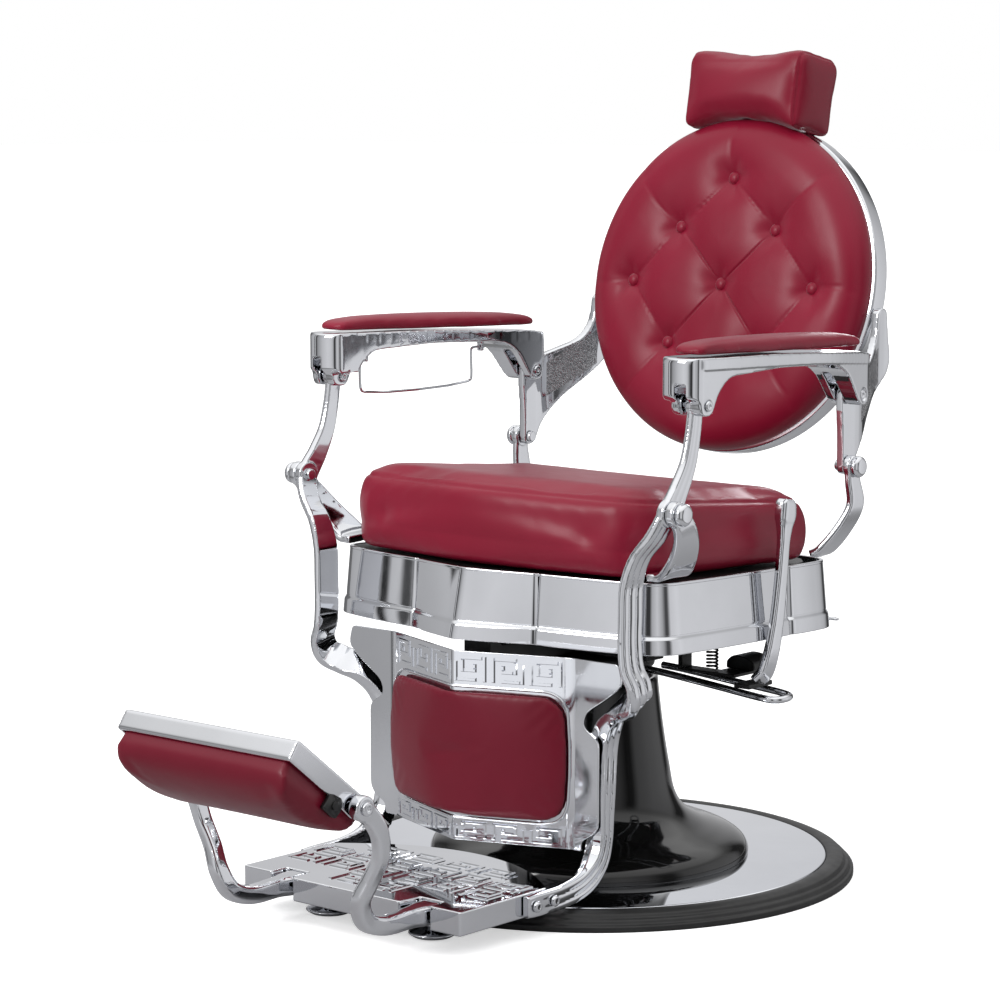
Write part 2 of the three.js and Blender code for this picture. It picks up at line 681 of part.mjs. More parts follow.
// Wire towel bar that swings in two lugs under the -X arm.
add('towel_bar', sweep([
  [TOWEL_X, TOWEL_ENDS[0] + 14, TOWEL_Z], [TOWEL_X, TOWEL_ENDS[0] + 3, TOWEL_Z],
  [TOWEL_X, TOWEL_ENDS[0], TOWEL_Z - 3], [TOWEL_X, TOWEL_ENDS[0], TOWEL_Z - 44],
  [TOWEL_X, TOWEL_ENDS[0] + 4, TOWEL_Z - 48], [TOWEL_X, TOWEL_ENDS[1] - 34, TOWEL_Z - 48],
  [TOWEL_X, TOWEL_ENDS[1] - 30, TOWEL_Z - 44], [TOWEL_X, TOWEL_ENDS[1] - 30, TOWEL_Z - 3],
  [TOWEL_X, TOWEL_ENDS[1] - 27, TOWEL_Z], [TOWEL_X, TOWEL_ENDS[1], TOWEL_Z],
].map((at) => ({ at })), {
  flat: AXIS.x, sectionOf: () => roundSection(TOWEL_WIRE_R, 6), samples: 40,
}), CHROME);

// ================= front levers and leg rest =================
// One casting per side: arm pin, pivot, ribbed strap, inward sweep, leg, forward curve to the footplate.
const LEVER_STATIONS = [
  { at: [324, -183, 688], thick: 11, width: 24, groove: 0.5 },
  { at: [324, -188, 655], thick: 11, width: 25, groove: 0.5 },
  { at: [324, -198, 618], thick: 11.5, width: 27, groove: 0.5 },
  { at: [324, -217, 585], thick: 12, width: 32, groove: 0.5 },
  { at: [323.5, -238, 555], thick: 12, width: 36, groove: 0.5 },
  { at: [311, -247, 527], thick: 12, width: 36, groove: 0.5 },
  { at: [288, -251, 497], thick: 12, width: 38, groove: 2 },
  { at: [276, -252, 463], thick: 12, width: 42, groove: 2.5 },
  { at: [274, -252, 420], thick: 12, width: 43, groove: 2.5 },
  { at: [274, -252, 375], thick: 12, width: 43, groove: 2.5 },
  { at: [277, -251, 350], thick: 12, width: 43, groove: 2.5 },
  { at: [286, -248, 328], thick: 13, width: 43, groove: 2 },
  { at: [282, -243, 309], thick: 16, width: 43, groove: 1.5 },
  { at: [262, -235, 299], thick: 17, width: 42, groove: 1 },
  { at: [234, -224, 288], thick: 20, width: 40, groove: 1 },
  { at: [210, -214, 266], thick: 24, width: 37, groove: 1.5 },
  { at: [LEG_X + 2, -209, 236], thick: 27, width: 36, groove: 2.5 },
  { at: [LEG_X, -212, 176], thick: 28, width: 35, groove: 2.5 },
  { at: [LEG_X, -213.5, 140], thick: 28, width: 32, groove: 2.5 },
  { at: [LEG_X, -215, 107], thick: 28, width: 29, groove: 2.5 },
  { at: [LEG_X + 2, -226, 79], thick: 26, width: 32, groove: 2.5 },
  { at: [LEG_X + 6, -254, 56], thick: 16, width: 35, groove: 2 },
  { at: [LEG_X + 8, -300, 46], thick: 11, width: 34, groove: 1 },
  { at: [LEG_X + 8, -352, 45], thick: 11, width: 33, groove: 0.5 },
  { at: [LEG_X + 8, -378, 45], thick: 11, width: 30, groove: 0.5 },
];
const LEVER = cut(
  join(
    sweep(LEVER_STATIONS, { flat: AXIS.x, sectionOf: ribbedBar, samples: 34 }),
    rodX(14, 318, 330, ...LEVER_PIN),
    rodX(18, 318, 330, ...LEVER_PIVOT),
  ),
  rodX(OPEN_PIVOT_R, 300, 340, ...LEVER_PIN),
  rodX(PIVOT_R + HOLE_PLAY, 300, 340, ...LEVER_PIVOT),
  ...faced(318, 330, ...LEVER_PIVOT),
  box([190, FOOTPLATE_HALF + 0.5], [-400, -268], [20, 75]),
);
addPair('lever', LEVER, CHROME);

// Calf panel: folded sheet with a prow in the middle and flat wings that follow the levers.
const PANEL_WALL = 4;
const PANEL_PLAN = outline([
  [-250, PANEL_WING_Y], [-160, PANEL_WING_Y, 8], [0, PANEL_PROW_Y, 6], [160, PANEL_WING_Y, 8],
  [250, PANEL_WING_Y],
  [250, PANEL_WING_Y + PANEL_WALL], [159, PANEL_WING_Y + PANEL_WALL, 6], [0, PANEL_PROW_Y + PANEL_WALL, 4],
  [-159, PANEL_WING_Y + PANEL_WALL, 6], [-250, PANEL_WING_Y + PANEL_WALL],
]);
const PANEL_FRONT = outline([
  [-240, PANEL_TOP, 6], [240, PANEL_TOP, 6], [247, 322, 12], [222, 303, 30], [185, 279, 14], [180, 260, 10],
  [206, 244, 10], [206, 120, 14], [178, 104, 10], [177.5, PANEL_BOTTOM, 4],
  [-177.5, PANEL_BOTTOM, 4], [-178, 104, 10], [-206, 120, 14], [-206, 244, 10],
  [-180, 260, 10], [-185, 279, 14], [-222, 303, 30], [-247, 322, 12],
]);
add('calf_panel', common(
  slab(PANEL_PLAN, 'xy', 60, 400, 6),
  slab(PANEL_FRONT, 'xz', -330, -200, 3),
), CHROME);

// Padded centre of the calf panel. Soft solid.
const CALF_PAD_PLAN = outline([
  [-161, -245, 8], [-124, -263, 30], [0, -312, 60], [124, -263, 30], [161, -245, 8], [159, -237.2, 2],
  [0, -296, 4], [-159, -237.2, 2],
]);
const CALF_PAD_FRONT = outline([
  [-153, 298, 32], [153, 298, 32], [164, 212, 60], [153, 125, 32], [-153, 125, 32], [-164, 212, 60],
]);
add('calf_pad', common(
  slab(CALF_PAD_PLAN, 'xy', 100, 330, 6),
  slab(CALF_PAD_FRONT, 'xz', -340, -230, 5),
), LEATHER);

// Footplate with two notches for the roots of the flip-rest brackets and a curved rear edge.
const FOOTPLATE_SHAPE = outline([
  [195, -497, 4], [142, -497, 4], [142, -468, 3], [100, -468, 3], [96, -505, 4], [-96, -505, 4],
  [-100, -468, 3], [-142, -468, 3], [-142, -497, 4], [-195, -497, 4], [-195, -325, 6],
  [-110, -262, 60], [0, -236, 80],
  [110, -262, 60], [195, -325, 6],
]);
add('footplate', slab(FOOTPLATE_SHAPE, 'xy', FOOTPLATE_BOTTOM, FOOTPLATE_TOP, 6), CHROME);

function footBolt(y, z) {
  return turnedX([
    [0, 208 + GAP], [7.5, 208 + GAP], [7.5, 211], [5.5, 213], [3, 213], [2.5, 211.5], [0, 211.5],
  ], y, z, 12);
}
addPair('foot_bolt_front', footBolt(-362, 45), CHROME);
addPair('foot_bolt_rear', footBolt(-326, 46), CHROME);

const GLIDE = turned([
  [0, 1.5], [26, 1.5], [31, 3], [33, 6], [31, 9], [18, 12], [10, 16],
  [10, FOOTPLATE_BOTTOM - GAP], [0, FOOTPLATE_BOTTOM - GAP],
], 18).translate(GLIDE_X, GLIDE_Y, 0);
addPair('glide', GLIDE, CHROME);

// S-shaped brackets that carry the flip foot rest.
const S_BRACKET = join(
  sweep([
    { at: [121, -469.5, 45], thick: 22, width: 26 },
    { at: [121, -520, 45], thick: 22, width: 25 },
    { at: [121, -565, 46], thick: 21, width: 24 },
    { at: [122, -597, 60], thick: 20, width: 22 },
    { at: [127, -607, 85], thick: 19, width: 21 },
    { at: [142, -604, 116], thick: 18, width: 21 },
    { at: [159, -605, 147], thick: 17, width: 21 },
    { at: [164.5, -613, 178], thick: 17, width: 22 },
    { at: [164.5, -628, 202], thick: 17, width: 24 },
    { at: [164.5, -640, 212], thick: 16.6, width: 26 },
  ], { flat: AXIS.x, sectionOf: plainBar, samples: 20 }),
  rodX(17, 156, 173, ...FLIP_PIVOT),
);
addPair('s_bracket', cut(S_BRACKET, rodX(FLIP_BOLT_R + HOLE_PLAY, 140, 185, ...FLIP_PIVOT)), CHROME);

// ================= flip foot rest =================
const FLIP_ANGLE = THREE.MathUtils.degToRad(-FLIP_RISE);
// Local frame: y runs from the hinge towards the rear, z is square to the tray, both turned by the slope.
function onFlip(geometry) {
  return geometry.rotateX(FLIP_ANGLE).translate(0, ...FLIP_PIVOT);
}

const TRAY_SIDE = outline([
  [-138, -4, 4], [-138, 25, 5], [20, 17, 8], [30, 2, 6], [8, -16, 10], [-60, -8, 40],
]);
// Tray folded from sheet: hollow underneath for the pad.
const FLIP_TRAY = cut(
  slab(TRAY_SIDE, 'yz', -FLIP_HALF, FLIP_HALF, 5),
  box([-FLIP_HALF + 5, FLIP_HALF - 5], [-133, 60], [-40, 4]),
);
add('flip_tray', onFlip(FLIP_TRAY), CHROME);

const FLIP_PAD_SIDE = outline([
  [-132, 3.2, 2], [18, 3.2, 2], [26, -8, 6], [8, -34, 20], [-60, -52, 40], [-116, -46, 30], [-134, -22, 14],
  [-132, -6, 4],
]);
function flipPadGeometry() {
  const side = slab(FLIP_PAD_SIDE, 'yz', -FLIP_HALF, FLIP_HALF, 6);
  const front = slab(outline([
    [-147, 4, 2], [147, 4, 2], [147, -17.5, 2], [152, -22, 4], [148, -44, 14], [128, -56, 18],
    [-128, -56, 18], [-148, -44, 14], [-152, -22, 4], [-147, -17.5, 2],
  ]), 'xz', -150, 40, 5);
  return common(side, front);
}
add('flip_pad', onFlip(flipPadGeometry()), LEATHER);

const FLIP_BOLT = turnedX([
  [0, FLIP_HALF + GAP], [FLIP_BOLT_R, FLIP_HALF + GAP], [FLIP_BOLT_R, 173 + GAP], [9, 173 + GAP],
  [9, 176], [7, 177.5], [3.5, 177.5], [3, 175.5], [0, 175.5],
], ...FLIP_PIVOT, 14);
addPair('flip_bolt', FLIP_BOLT, CHROME);

// ================= pump handle =================
const LOOP_RADIUS = 5;
add('handle_loop', sweep([
  [96, 6, 295], [130, 4, 293.5], [220, 0, 287], [304, -3, 280.5], [320, 2, 279], [326, 20, 279],
  [320, 38, 279.5], [304, 43, 281], [220, 44, 287], [130, 45, 293.5], [96, 45, 295],
].map((at) => ({ at })), {
  flat: AXIS.z, sectionOf: () => roundSection(LOOP_RADIUS), samples: 36,
}), CHROME);

const HAND_LEVER = sweep([
  { at: [298, 56, 545], thick: 20, width: 27 },
  { at: [298, 54, 524], thick: 20, width: 33 },
  { at: [298, 51, 494], thick: 15, width: 24 },
  { at: [298, 45, 436], thick: 13, width: 24 },
  { at: [297, 37, 376], thick: 13, width: 26 },
  { at: [294, 29, 334], thick: 14, width: 28 },
  { at: [288, 24, 309], thick: 15, width: 30 },
  { at: [276, 20, 293], thick: 13, width: 30 },
], { flat: AXIS.x, sectionOf: plainBar, samples: 22 });
add('hand_lever', cut(HAND_LEVER, box([240, 330], [-20, 80], [260, 296 + GAP])), CHROME);

// Foot of the lever, clamped over both rods of the loop.
add('handle_foot', box([258, 284], [-6, 48], [289.5, 296]), BLACK_STEEL);

export default chair;
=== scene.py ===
"""Looks for a hydraulic barber chair: polished chrome castings, burgundy leather and a gloss black column.

The CAD frame is loaded and kept fixed. Every visible piece is either a finer mesh that stands for its CAD
node, or the CAD node itself with softened edges and a procedural material. Lengths are in millimetres.
"""

import math

import bmesh
import bpy
from mathutils import Matrix, Vector, noise


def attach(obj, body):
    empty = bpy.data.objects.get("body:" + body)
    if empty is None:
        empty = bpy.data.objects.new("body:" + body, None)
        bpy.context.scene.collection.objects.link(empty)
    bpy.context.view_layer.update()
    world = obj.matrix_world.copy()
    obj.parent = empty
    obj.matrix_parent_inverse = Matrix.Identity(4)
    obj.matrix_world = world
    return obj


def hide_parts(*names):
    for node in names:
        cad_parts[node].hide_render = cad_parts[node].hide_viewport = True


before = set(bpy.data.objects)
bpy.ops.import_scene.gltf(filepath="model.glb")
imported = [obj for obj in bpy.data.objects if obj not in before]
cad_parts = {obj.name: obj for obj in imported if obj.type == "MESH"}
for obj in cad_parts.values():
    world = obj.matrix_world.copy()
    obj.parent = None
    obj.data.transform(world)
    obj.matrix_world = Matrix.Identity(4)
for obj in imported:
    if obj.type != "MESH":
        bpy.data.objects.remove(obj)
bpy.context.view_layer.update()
scene = bpy.context.scene
MM = 0.001

# ---- driving dimensions, the same as the CAD ----
BASE_R = 375
BASE_TOP = 24
PLATE_R = 336
SKIRT_TOP = 461
SKIRT_LEAN = 0.037
SKIRT_TALL = 95
SKIRT_FLARE = 8
PROW_FLARE = 14
LEVER_PIVOT = (-239, 558)
LEVER_PIN = (-185, 694)
BACK_PIVOT = (203, 578)
BACK_PIN = (204, 679)
BACK_CENTRE = Vector((0, 281, 821))
BACK_TILT = math.radians(11.3)
FLIP_PIVOT = (-646, 218)
FLIP_RISE = math.radians(35.4)
LEG_X = 194
FOOTPLATE_BOTTOM = 29
FOOTPLATE_TOP = 61
FOOT_BOLTS = {"front": (-362, 45), "rear": (-326, 46)}

# ---- camera and lights, in metres ----
CAMERA_AT = (2.8597, -3.4973, 1.1094)
CAMERA_DIP = math.radians(7.375)
CAMERA_TURN = math.radians(40.886)
CAMERA_LENS = 116.57
SOFTBOX_AT = Vector((-0.9, -3.6, 2.6))
SOFTBOX_AIM = Vector((0, 0, 0.6))
FLOOR_REACH = 40.0


# ---- materials ----
def grey(value):
    return (value, value, value)


def colour_ramp(tree, stops):
    """A colour ramp node; stops are (position, colour)."""
    made = tree.nodes.new("ShaderNodeValToRGB")
    elements = made.color_ramp.elements
    while len(elements) < len(stops):
        elements.new(0.5)
    for element, (position, colour) in zip(elements, stops):
        element.position = position
        element.color = (*colour, 1)
    return made


class Shader:
    """A small helper for building node materials in a readable way."""

    def __init__(self, name):
        self.material = bpy.data.materials.new(name)
        self.material.use_nodes = True
        self.tree = self.material.node_tree
        self.tree.nodes.clear()
        self.output = self.node("ShaderNodeOutputMaterial")
        self.bsdf = self.node("ShaderNodeBsdfPrincipled")
        self.link(self.bsdf, "BSDF", self.output, "Surface")
        self.place = self.node("ShaderNodeTexCoord")

    def node(self, kind, inputs=None, **settings):
        made = self.tree.nodes.new(kind)
        for key, value in settings.items():
            setattr(made, key, value)
        for key, value in (inputs or {}).items():
            made.inputs[key].default_value = value
        return made

    def link(self, source, out, target, into):
        self.tree.links.new(source.outputs[out], target.inputs[into])

    def set(self, **values):
        for key, value in values.items():
            self.bsdf.inputs[key.replace("_", " ")].default_value = value

    def noise(self, scale, detail=3.0, roughness=0.5, stretch=(1, 1, 1)):
        mapping = self.node("ShaderNodeMapping", {"Scale": stretch})
        self.link(self.place, "Object", mapping, "Vector")
        made = self.node("ShaderNodeTexNoise", {"Scale": scale, "Detail": detail, "Roughness": roughness})
        self.link(mapping, "Vector", made, "Vector")
        return made, "Fac"

    def cells(self, scale, feature="F1"):
        made = self.node("ShaderNodeTexVoronoi", {"Scale": scale}, feature=feature)
        self.link(self.place, "Object", made, "Vector")
        return made, "Distance"

    def ramp(self, source, stops):
        made = colour_ramp(self.tree, stops)
        self.link(*source, made, "Fac")
        return made, "Color"

    def range(self, source, low, high, from_low=0.0, from_high=1.0):
        made = self.node("ShaderNodeMapRange", {
            "From Min": from_low, "From Max": from_high, "To Min": low, "To Max": high})
        self.link(*source, made, "Value")
        return made, "Result"

    def add(self, a, b, weight=1.0):
        scaled = self.node("ShaderNodeMath", operation="MULTIPLY_ADD")
        scaled.inputs[1].default_value = weight
        self.link(*b, scaled, 0)
        self.link(*a, scaled, 2)
        return scaled, "Value"

    def bump(self, source, strength, distance):
        made = self.node("ShaderNodeBump", {"Strength": strength, "Distance": distance * MM})
        self.link(*source, made, "Height")
        self.link(made, "Normal", self.bsdf, "Normal")

    def into(self, source, name):
        self.link(*source, self.bsdf, name)


def chrome_material(name, tint=(0.70, 0.71, 0.735), rough=(0.03, 0.075), wave=0.10):
    s = Shader(name)
    s.set(Metallic=1.0)
    cloud = s.noise(9.0, 4.0, 0.6)
    light = tuple(c * 1.06 for c in tint)
    s.into(s.ramp(cloud, [(0.3, tint), (0.7, light)]), "Base Color")
    smear = s.noise(60.0, 5.0, 0.7, stretch=(1, 1, 0.3))
    s.into(s.range(smear, *rough, 0.35, 0.75), "Roughness")
    s.bump(s.noise(16.0, 1.5, 0.4), wave, 0.6)
    return s.material


def hammered_material():
    s = Shader("chrome_hammered")
    s.set(Metallic=1.0)
    dents = s.cells(330.0)
    s.into(s.ramp(dents, [(0.0, (0.62, 0.62, 0.64)), (0.6, (0.34, 0.34, 0.35))]), "Base Color")
    s.into(s.range(s.noise(200.0, 3.0), 0.16, 0.30), "Roughness")
    s.bump(s.add(dents, s.noise(420.0, 2.0), 0.4), 0.9, 1.2)
    return s.material


def leather_material(name, shade):
    s = Shader(name)
    patches = s.noise(5.0, 4.0, 0.55)
    # shade scales the colour; below 1 it paints shade into a copy of the leather.
    dark = [shade * c for c in (0.220, 0.0052, 0.0225)]
    light = [shade * c for c in (0.285, 0.0085, 0.0340)]
    s.into(s.ramp(patches, [(0.25, dark), (0.75, light)]), "Base Color")
    pores = s.cells(620.0)
    creases = s.cells(260.0, "DISTANCE_TO_EDGE")
    fine = s.noise(900.0, 2.0, 0.5)
    grain = s.add(s.add(s.range(creases, 0.0, 1.0, 0.0, 0.22), pores, 0.35), fine, 0.3)
    s.into(s.range(s.noise(35.0, 3.0, 0.6), 0.32, 0.42), "Roughness")
    s.set(Specular_IOR_Level=0.28, Coat_Weight=0.05, Coat_Roughness=0.3)
    s.bump(grain, 0.22, 0.07)
    return s.material


def gloss_black_material():
    s = Shader("gloss_black_paint")
    s.into(s.ramp(s.noise(14.0, 3.0), [(0.3, grey(0.004)), (0.8, grey(0.010))]), "Base Color")
    s.into(s.range(s.noise(70.0, 5.0, 0.7), 0.06, 0.14, 0.4, 0.8), "Roughness")
    s.set(Coat_Weight=0.35, Coat_Roughness=0.03, Specular_IOR_Level=0.4)
    s.bump(s.noise(120.0, 1.0), 0.03, 0.15)
    return s.material


def black_steel_material():
    s = Shader("satin_black_steel")
    s.set(Metallic=0.35, Specular_IOR_Level=0.5)
    s.into(s.ramp(s.noise(30.0, 5.0, 0.7), [(0.3, grey(0.010)), (0.75, grey(0.028))]), "Base Color")
    s.into(s.range(s.noise(90.0, 4.0, 0.6), 0.28, 0.5), "Roughness")
    s.bump(s.noise(700.0, 2.0), 0.12, 0.1)
    return s.material


def rubber_material():
    s = Shader("moulded_rubber")
    s.into(s.ramp(s.noise(20.0, 4.0), [(0.3, grey(0.012)), (0.75, grey(0.024))]), "Base Color")
    s.into(s.range(s.noise(50.0, 4.0, 0.6), 0.34, 0.55), "Roughness")
    s.set(Specular_IOR_Level=0.45)
    s.bump(s.noise(900.0, 2.0), 0.10, 0.12)
    return s.material


CHROME = chrome_material("chrome_cast")
SHEET = chrome_material("chrome_sheet", rough=(0.035, 0.09), wave=0.16)
# The mirror plate's tint is partly the polished chrome's own colour and partly painted reflection: its blue
# cast stands in for what it reflects.
MIRROR = chrome_material("chrome_mirror_plate", tint=(0.80, 0.82, 0.86), rough=(0.015, 0.04), wave=0.03)
HAMMERED = hammered_material()
LEATHER = leather_material("leather_burgundy", 1.0)
# A darker copy of the same leather: painted shade for the low calf and flip pads, which get less light from
# above.
LEATHER_PAINTED_SHADE = leather_material("leather_burgundy_painted_shade", 0.62)
GLOSS_BLACK = gloss_black_material()
BLACK_STEEL = black_steel_material()
RUBBER = rubber_material()


# ---- mesh helpers ----
def mesh_object(name, vertices, faces, material, body, node=None, smooth=True):
    """A new piece from millimetre vertices, riding on a body and standing for a CAD node."""
    mesh = bpy.data.meshes.new(name)
    mesh.from_pydata([Vector(v) * MM for v in vertices], [], faces)
    mesh.validate()
    work = bmesh.new()
    work.from_mesh(mesh)
    bmesh.ops.remove_doubles(work, verts=work.verts, dist=1e-6)
    bmesh.ops.recalc_face_normals(work, faces=work.faces)
    work.to_mesh(mesh)
    work.free()
    mesh.polygons.foreach_set("use_smooth", [smooth] * len(mesh.polygons))
    return register(bpy.data.objects.new(name, mesh), material, body, node)


def register(piece, material, body, node=None):
    if piece.name not in scene.collection.objects:
        scene.collection.objects.link(piece)
    piece.data.materials.clear()
    piece.data.materials.append(material)
    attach(piece, body)
    if node:
        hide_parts(node)
    return piece


def modifier(piece, kind, name, **settings):
    made = piece.modifiers.new(name, kind)
    for key, value in settings.items():
        setattr(made, key, value)
    return made


def apply_modifiers(piece):
    """Bakes the modifiers of a piece into its mesh."""
    graph = bpy.context.evaluated_depsgraph_get()
    graph.update()
    mesh = bpy.data.meshes.new_from_object(piece.evaluated_get(graph))
    piece.modifiers.clear()
    piece.data = mesh


def soften(piece, width=1.2, segments=3, angle=32):
    """Rounds the hard edges of a piece and keeps its flats flat."""
    modifier(piece, "BEVEL", "soften", width=width * MM, segments=segments, limit_method="ANGLE",
             angle_limit=math.radians(angle), miter_outer="MITER_ARC")
    modifier(piece, "WEIGHTED_NORMAL", "flats", keep_sharp=True)


def cast(piece, voxel=1.5, rounds=8):
    """Melts the shells of a piece into one casting with rounded edges."""
    modifier(piece, "REMESH", "melt", mode="VOXEL", voxel_size=voxel * MM, use_smooth_shade=True)
    modifier(piece, "SMOOTH", "settle", factor=0.5, iterations=rounds)
    apply_modifiers(piece)


def join_meshes(parts):
    """Puts several (vertices, faces) shells into one."""
    vertices = []
    faces = []
    for part_vertices, part_faces in parts:
        offset = len(vertices)
        vertices.extend(part_vertices)
        faces.extend([[i + offset for i in face] for face in part_faces])
    return vertices, faces


def moved(part, matrix):
    return [matrix @ Vector(v) for v in part[0]], part[1]


def mirrored(part):
    return [Vector((-v[0], v[1], v[2])) for v in part[0]], [list(reversed(f)) for f in part[1]]


def add_pair(name, part, body, node=None, material=None, finish=None):
    """Adds the +X piece and its mirror image, standing for NODE_left and NODE_right."""
    for side, shape in (("left", part), ("right", mirrored(part))):
        ride_on = f"arm_{side}" if body == "arm" else body
        stands_for = f"{node}_{side}" if node else None
        piece = mesh_object(f"{name}_{side}", *shape, material or CHROME, ride_on, stands_for)
        if finish:
            finish(piece)


def skin(loops, closed=False):
    """Joins loops of equal length into a surface, with flat end caps unless closed."""
    count = len(loops[0])
    vertices = [v for loop in loops for v in loop]
    faces = []
    for i in range(len(loops) if closed else len(loops) - 1):
        a = i * count
        b = ((i + 1) % len(loops)) * count
        for j in range(count):
            k = (j + 1) % count
            faces.append([a + j, a + k, b + k, b + j])
    if not closed:
        faces.append(list(range(count)))
        faces.append(list(range((len(loops) - 1) * count, len(loops) * count)))
    return vertices, faces


def rounded(corners, steps=5, closed=True):
    """A polyline whose corners are rounded. Corners are (a, b) or (a, b, radius)."""
    points = []
    last = len(corners) - 1
    for i, corner in enumerate(corners):
        here = Vector(corner[:2])
        reach = corner[2] if len(corner) > 2 else 0
        if reach <= 0 or (not closed and i in (0, last)):
            points.append(here)
            continue
        before = Vector(corners[i - 1][:2])
        after = Vector(corners[(i + 1) % len(corners)][:2])
        reach = min(reach, (before - here).length * 0.48, (after - here).length * 0.48)
        start = here + (before - here).normalized() * reach
        end = here + (after - here).normalized() * reach
        for k in range(steps + 1):
            t = k / steps
            points.append(start * (1 - t) ** 2 + here * 2 * t * (1 - t) + end * t ** 2)
    return points


def both_sides(half):
    """Closes half an outline with its mirror image."""
    return [*half, *((-x, *rest) for x, *rest in reversed(half))]


def open_line(corners, steps=3):
    """The same for a profile that starts and ends on the axis."""
    return rounded(corners, steps, closed=False)


def turned(profile, sides=96, closed=False):
    """A turned shell about +Z; profile points are (radius, height)."""
    vertices = []
    faces = []
    for r, h in profile:
        for k in range(sides):
            angle = 2 * math.pi * k / sides
            vertices.append(Vector((r * math.cos(angle), r * math.sin(angle), h)))
    rows = len(profile) if closed else len(profile) - 1
    for i in range(rows):
        a = i * sides
        b = ((i + 1) % len(profile)) * sides
        for k in range(sides):
            j = (k + 1) % sides
            faces.append([a + k, a + j, b + j, b + k])
    return vertices, faces


ALONG_X = Matrix(((0, 0, 1), (0, 1, 0), (-1, 0, 0))).to_4x4()


def turned_x(profile, y, z, sides=48):
    """A turned shell about +X through (y, z); profile points are (radius, x)."""
    return moved(turned(profile, sides), Matrix.Translation((0, y, z)) @ ALONG_X)


def disc_x(radius, x0, x1, edge, centre, sides=56, steps=3):
    """A disc about +X with rounded edges."""
    profile = open_line([(0, x0), (radius, x0, edge), (radius, x1, edge), (0, x1)], steps)
    return turned_x(profile, *centre, sides)


def slab(outline, plane, low, high):
    """A flat outline given thickness across its plane: 'xy', 'yz' or 'xz'."""
    place = {
        "xy": lambda p, height: Vector((p[0], p[1], height)),
        "yz": lambda p, height: Vector((height, p[0], p[1])),
        "xz": lambda p, height: Vector((p[0], height, p[1])),
    }[plane]
    return skin([[place(p, level) for p in outline] for level in (low, high)])


def spline(points, t, loop=False):
    """A centripetal Catmull-Rom curve through the points, t from 0 to 1."""
    count = len(points)
    spans = count if loop else count - 1
    along = t * spans
    i = min(int(along), spans - 1)
    w = along - i

    def at(k):
        if loop:
            return points[k % count]
        if k < 0:
            return points[0] * 2 - points[1]
        if k >= count:
            return points[-1] * 2 - points[-2]
        return points[k]

    p0, p1, p2, p3 = at(i - 1), at(i), at(i + 1), at(i + 2)
    d0 = max((p0 - p1).length ** 0.5, 1e-4)
    d1 = max((p1 - p2).length ** 0.5, 1e-4)
    d2 = max((p2 - p3).length ** 0.5, 1e-4)
    t1 = ((p1 - p0) / d0 - (p2 - p0) / (d0 + d1) + (p2 - p1) / d1) * d1
    t2 = ((p2 - p1) / d1 - (p3 - p1) / (d1 + d2) + (p3 - p2) / d2) * d1
    a = p1 * 2 - p2 * 2 + t1 + t2
    b = p1 * -3 + p2 * 3 - t1 * 2 - t2
    return ((a * w + b) * w + t1) * w + p1


# Share of a curve either side of a point that its direction is taken from.
NUDGE = 1e-4


def squared(vector, tangent):
    return (vector - tangent * vector.dot(tangent)).normalized()


def sweep(stations, section_of, flat=None, wide=None, samples=90, loop=False):
    """Sweeps a section along stations (x, y, z, *numbers). See the CAD for what flat and wide mean."""
    path = [Vector(s[:3]) for s in stations]
    numbers = [Vector([*s[3:], 0, 0, 0][:3]) for s in stations]
    loops = []
    for i in range(samples if loop else samples + 1):
        t = i / samples
        centre = spline(path, t, loop)
        ahead = spline(path, min(t + NUDGE, 1), loop)
        behind = spline(path, max(t - NUDGE, 0), loop)
        tangent = (ahead - behind).normalized()
        if flat is not None:
            a = squared(Vector(flat), tangent)
        else:
            a = squared(Vector(wide), tangent).cross(tangent)
        b = tangent.cross(a)
        loops.append([centre + a * p + b * q for p, q in section_of(*spline(numbers, t, loop))])
    return skin(loops, loop)


def bar_section(thick, width, _=0, corner=0.42, steps=5):
    """A flat bar with round edges."""
    r = min(thick, width) * corner
    w, t = width / 2, thick / 2
    return rounded([(-t, -w, r), (t, -w, r), (t, w, r), (-t, w, r)], steps=steps)


def reeded_section(thick, width, groove, ribs=3, steps=8):
    """A bar with rounded ribs along its outer face."""
    w, t = width / 2, thick / 2
    corner = min(t, w) * 0.6
    back = open_line([
        (-t + 0.01, w - corner), (-t, w, corner), (-t, -w, corner), (-t + 0.01, -w + corner)], 5)
    points = [Vector((0.0, w))] + back[1:-1] + [Vector((0.0, -w))]
    for k in range(ribs):
        low = -w + 1 + (2 * w - 2) * k / ribs
        high = -w + 1 + (2 * w - 2) * (k + 1) / ribs
        for i in range(steps + (k == ribs - 1)):
            u = 2 * i / steps - 1
            swell = math.sqrt(max(0.0, 1 - u * u))
            outermost = (k == 0 and i == 0) or (k == ribs - 1 and i == steps)
            sink = groove + 0.4 * t if outermost else groove
            points.append(Vector((t - sink * (1 - swell), (low + high) / 2 + u * (high - low) / 2)))
    return points


def circle(radius, sides):
    angles = [2 * math.pi * k / sides for k in range(sides)]
    return [(radius * math.cos(angle), radius * math.sin(angle)) for angle in angles]


def round_section(radius, sides=16):
    return lambda *_: circle(radius, sides)


AXIS_X = Vector((1, 0, 0))
AXIS_Y = Vector((0, 1, 0))
AXIS_Z = Vector((0, 0, 1))
ON_BACK = Matrix.Translation(BACK_CENTRE) @ Matrix.Rotation(-BACK_TILT, 4, "X")
ON_FLIP = Matrix.Translation((0, *FLIP_PIVOT)) @ Matrix.Rotation(-FLIP_RISE, 4, "X")


def keep_node(name, material, width=1.0, angle=32):
    """Shows a CAD node itself, welded, with softened edges and a procedural material."""
    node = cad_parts[name]
    node.material_slots[0].material = material
    modifier(node, "WELD", "weld", merge_threshold=0.01 * MM)
    modifier(node, "DECIMATE", "flatten", decimate_type="DISSOLVE", angle_limit=math.radians(1.5))
    modifier(node, "NODES", "shade", node_group=SMOOTH_GROUP)
    soften(node, width, 3, angle)


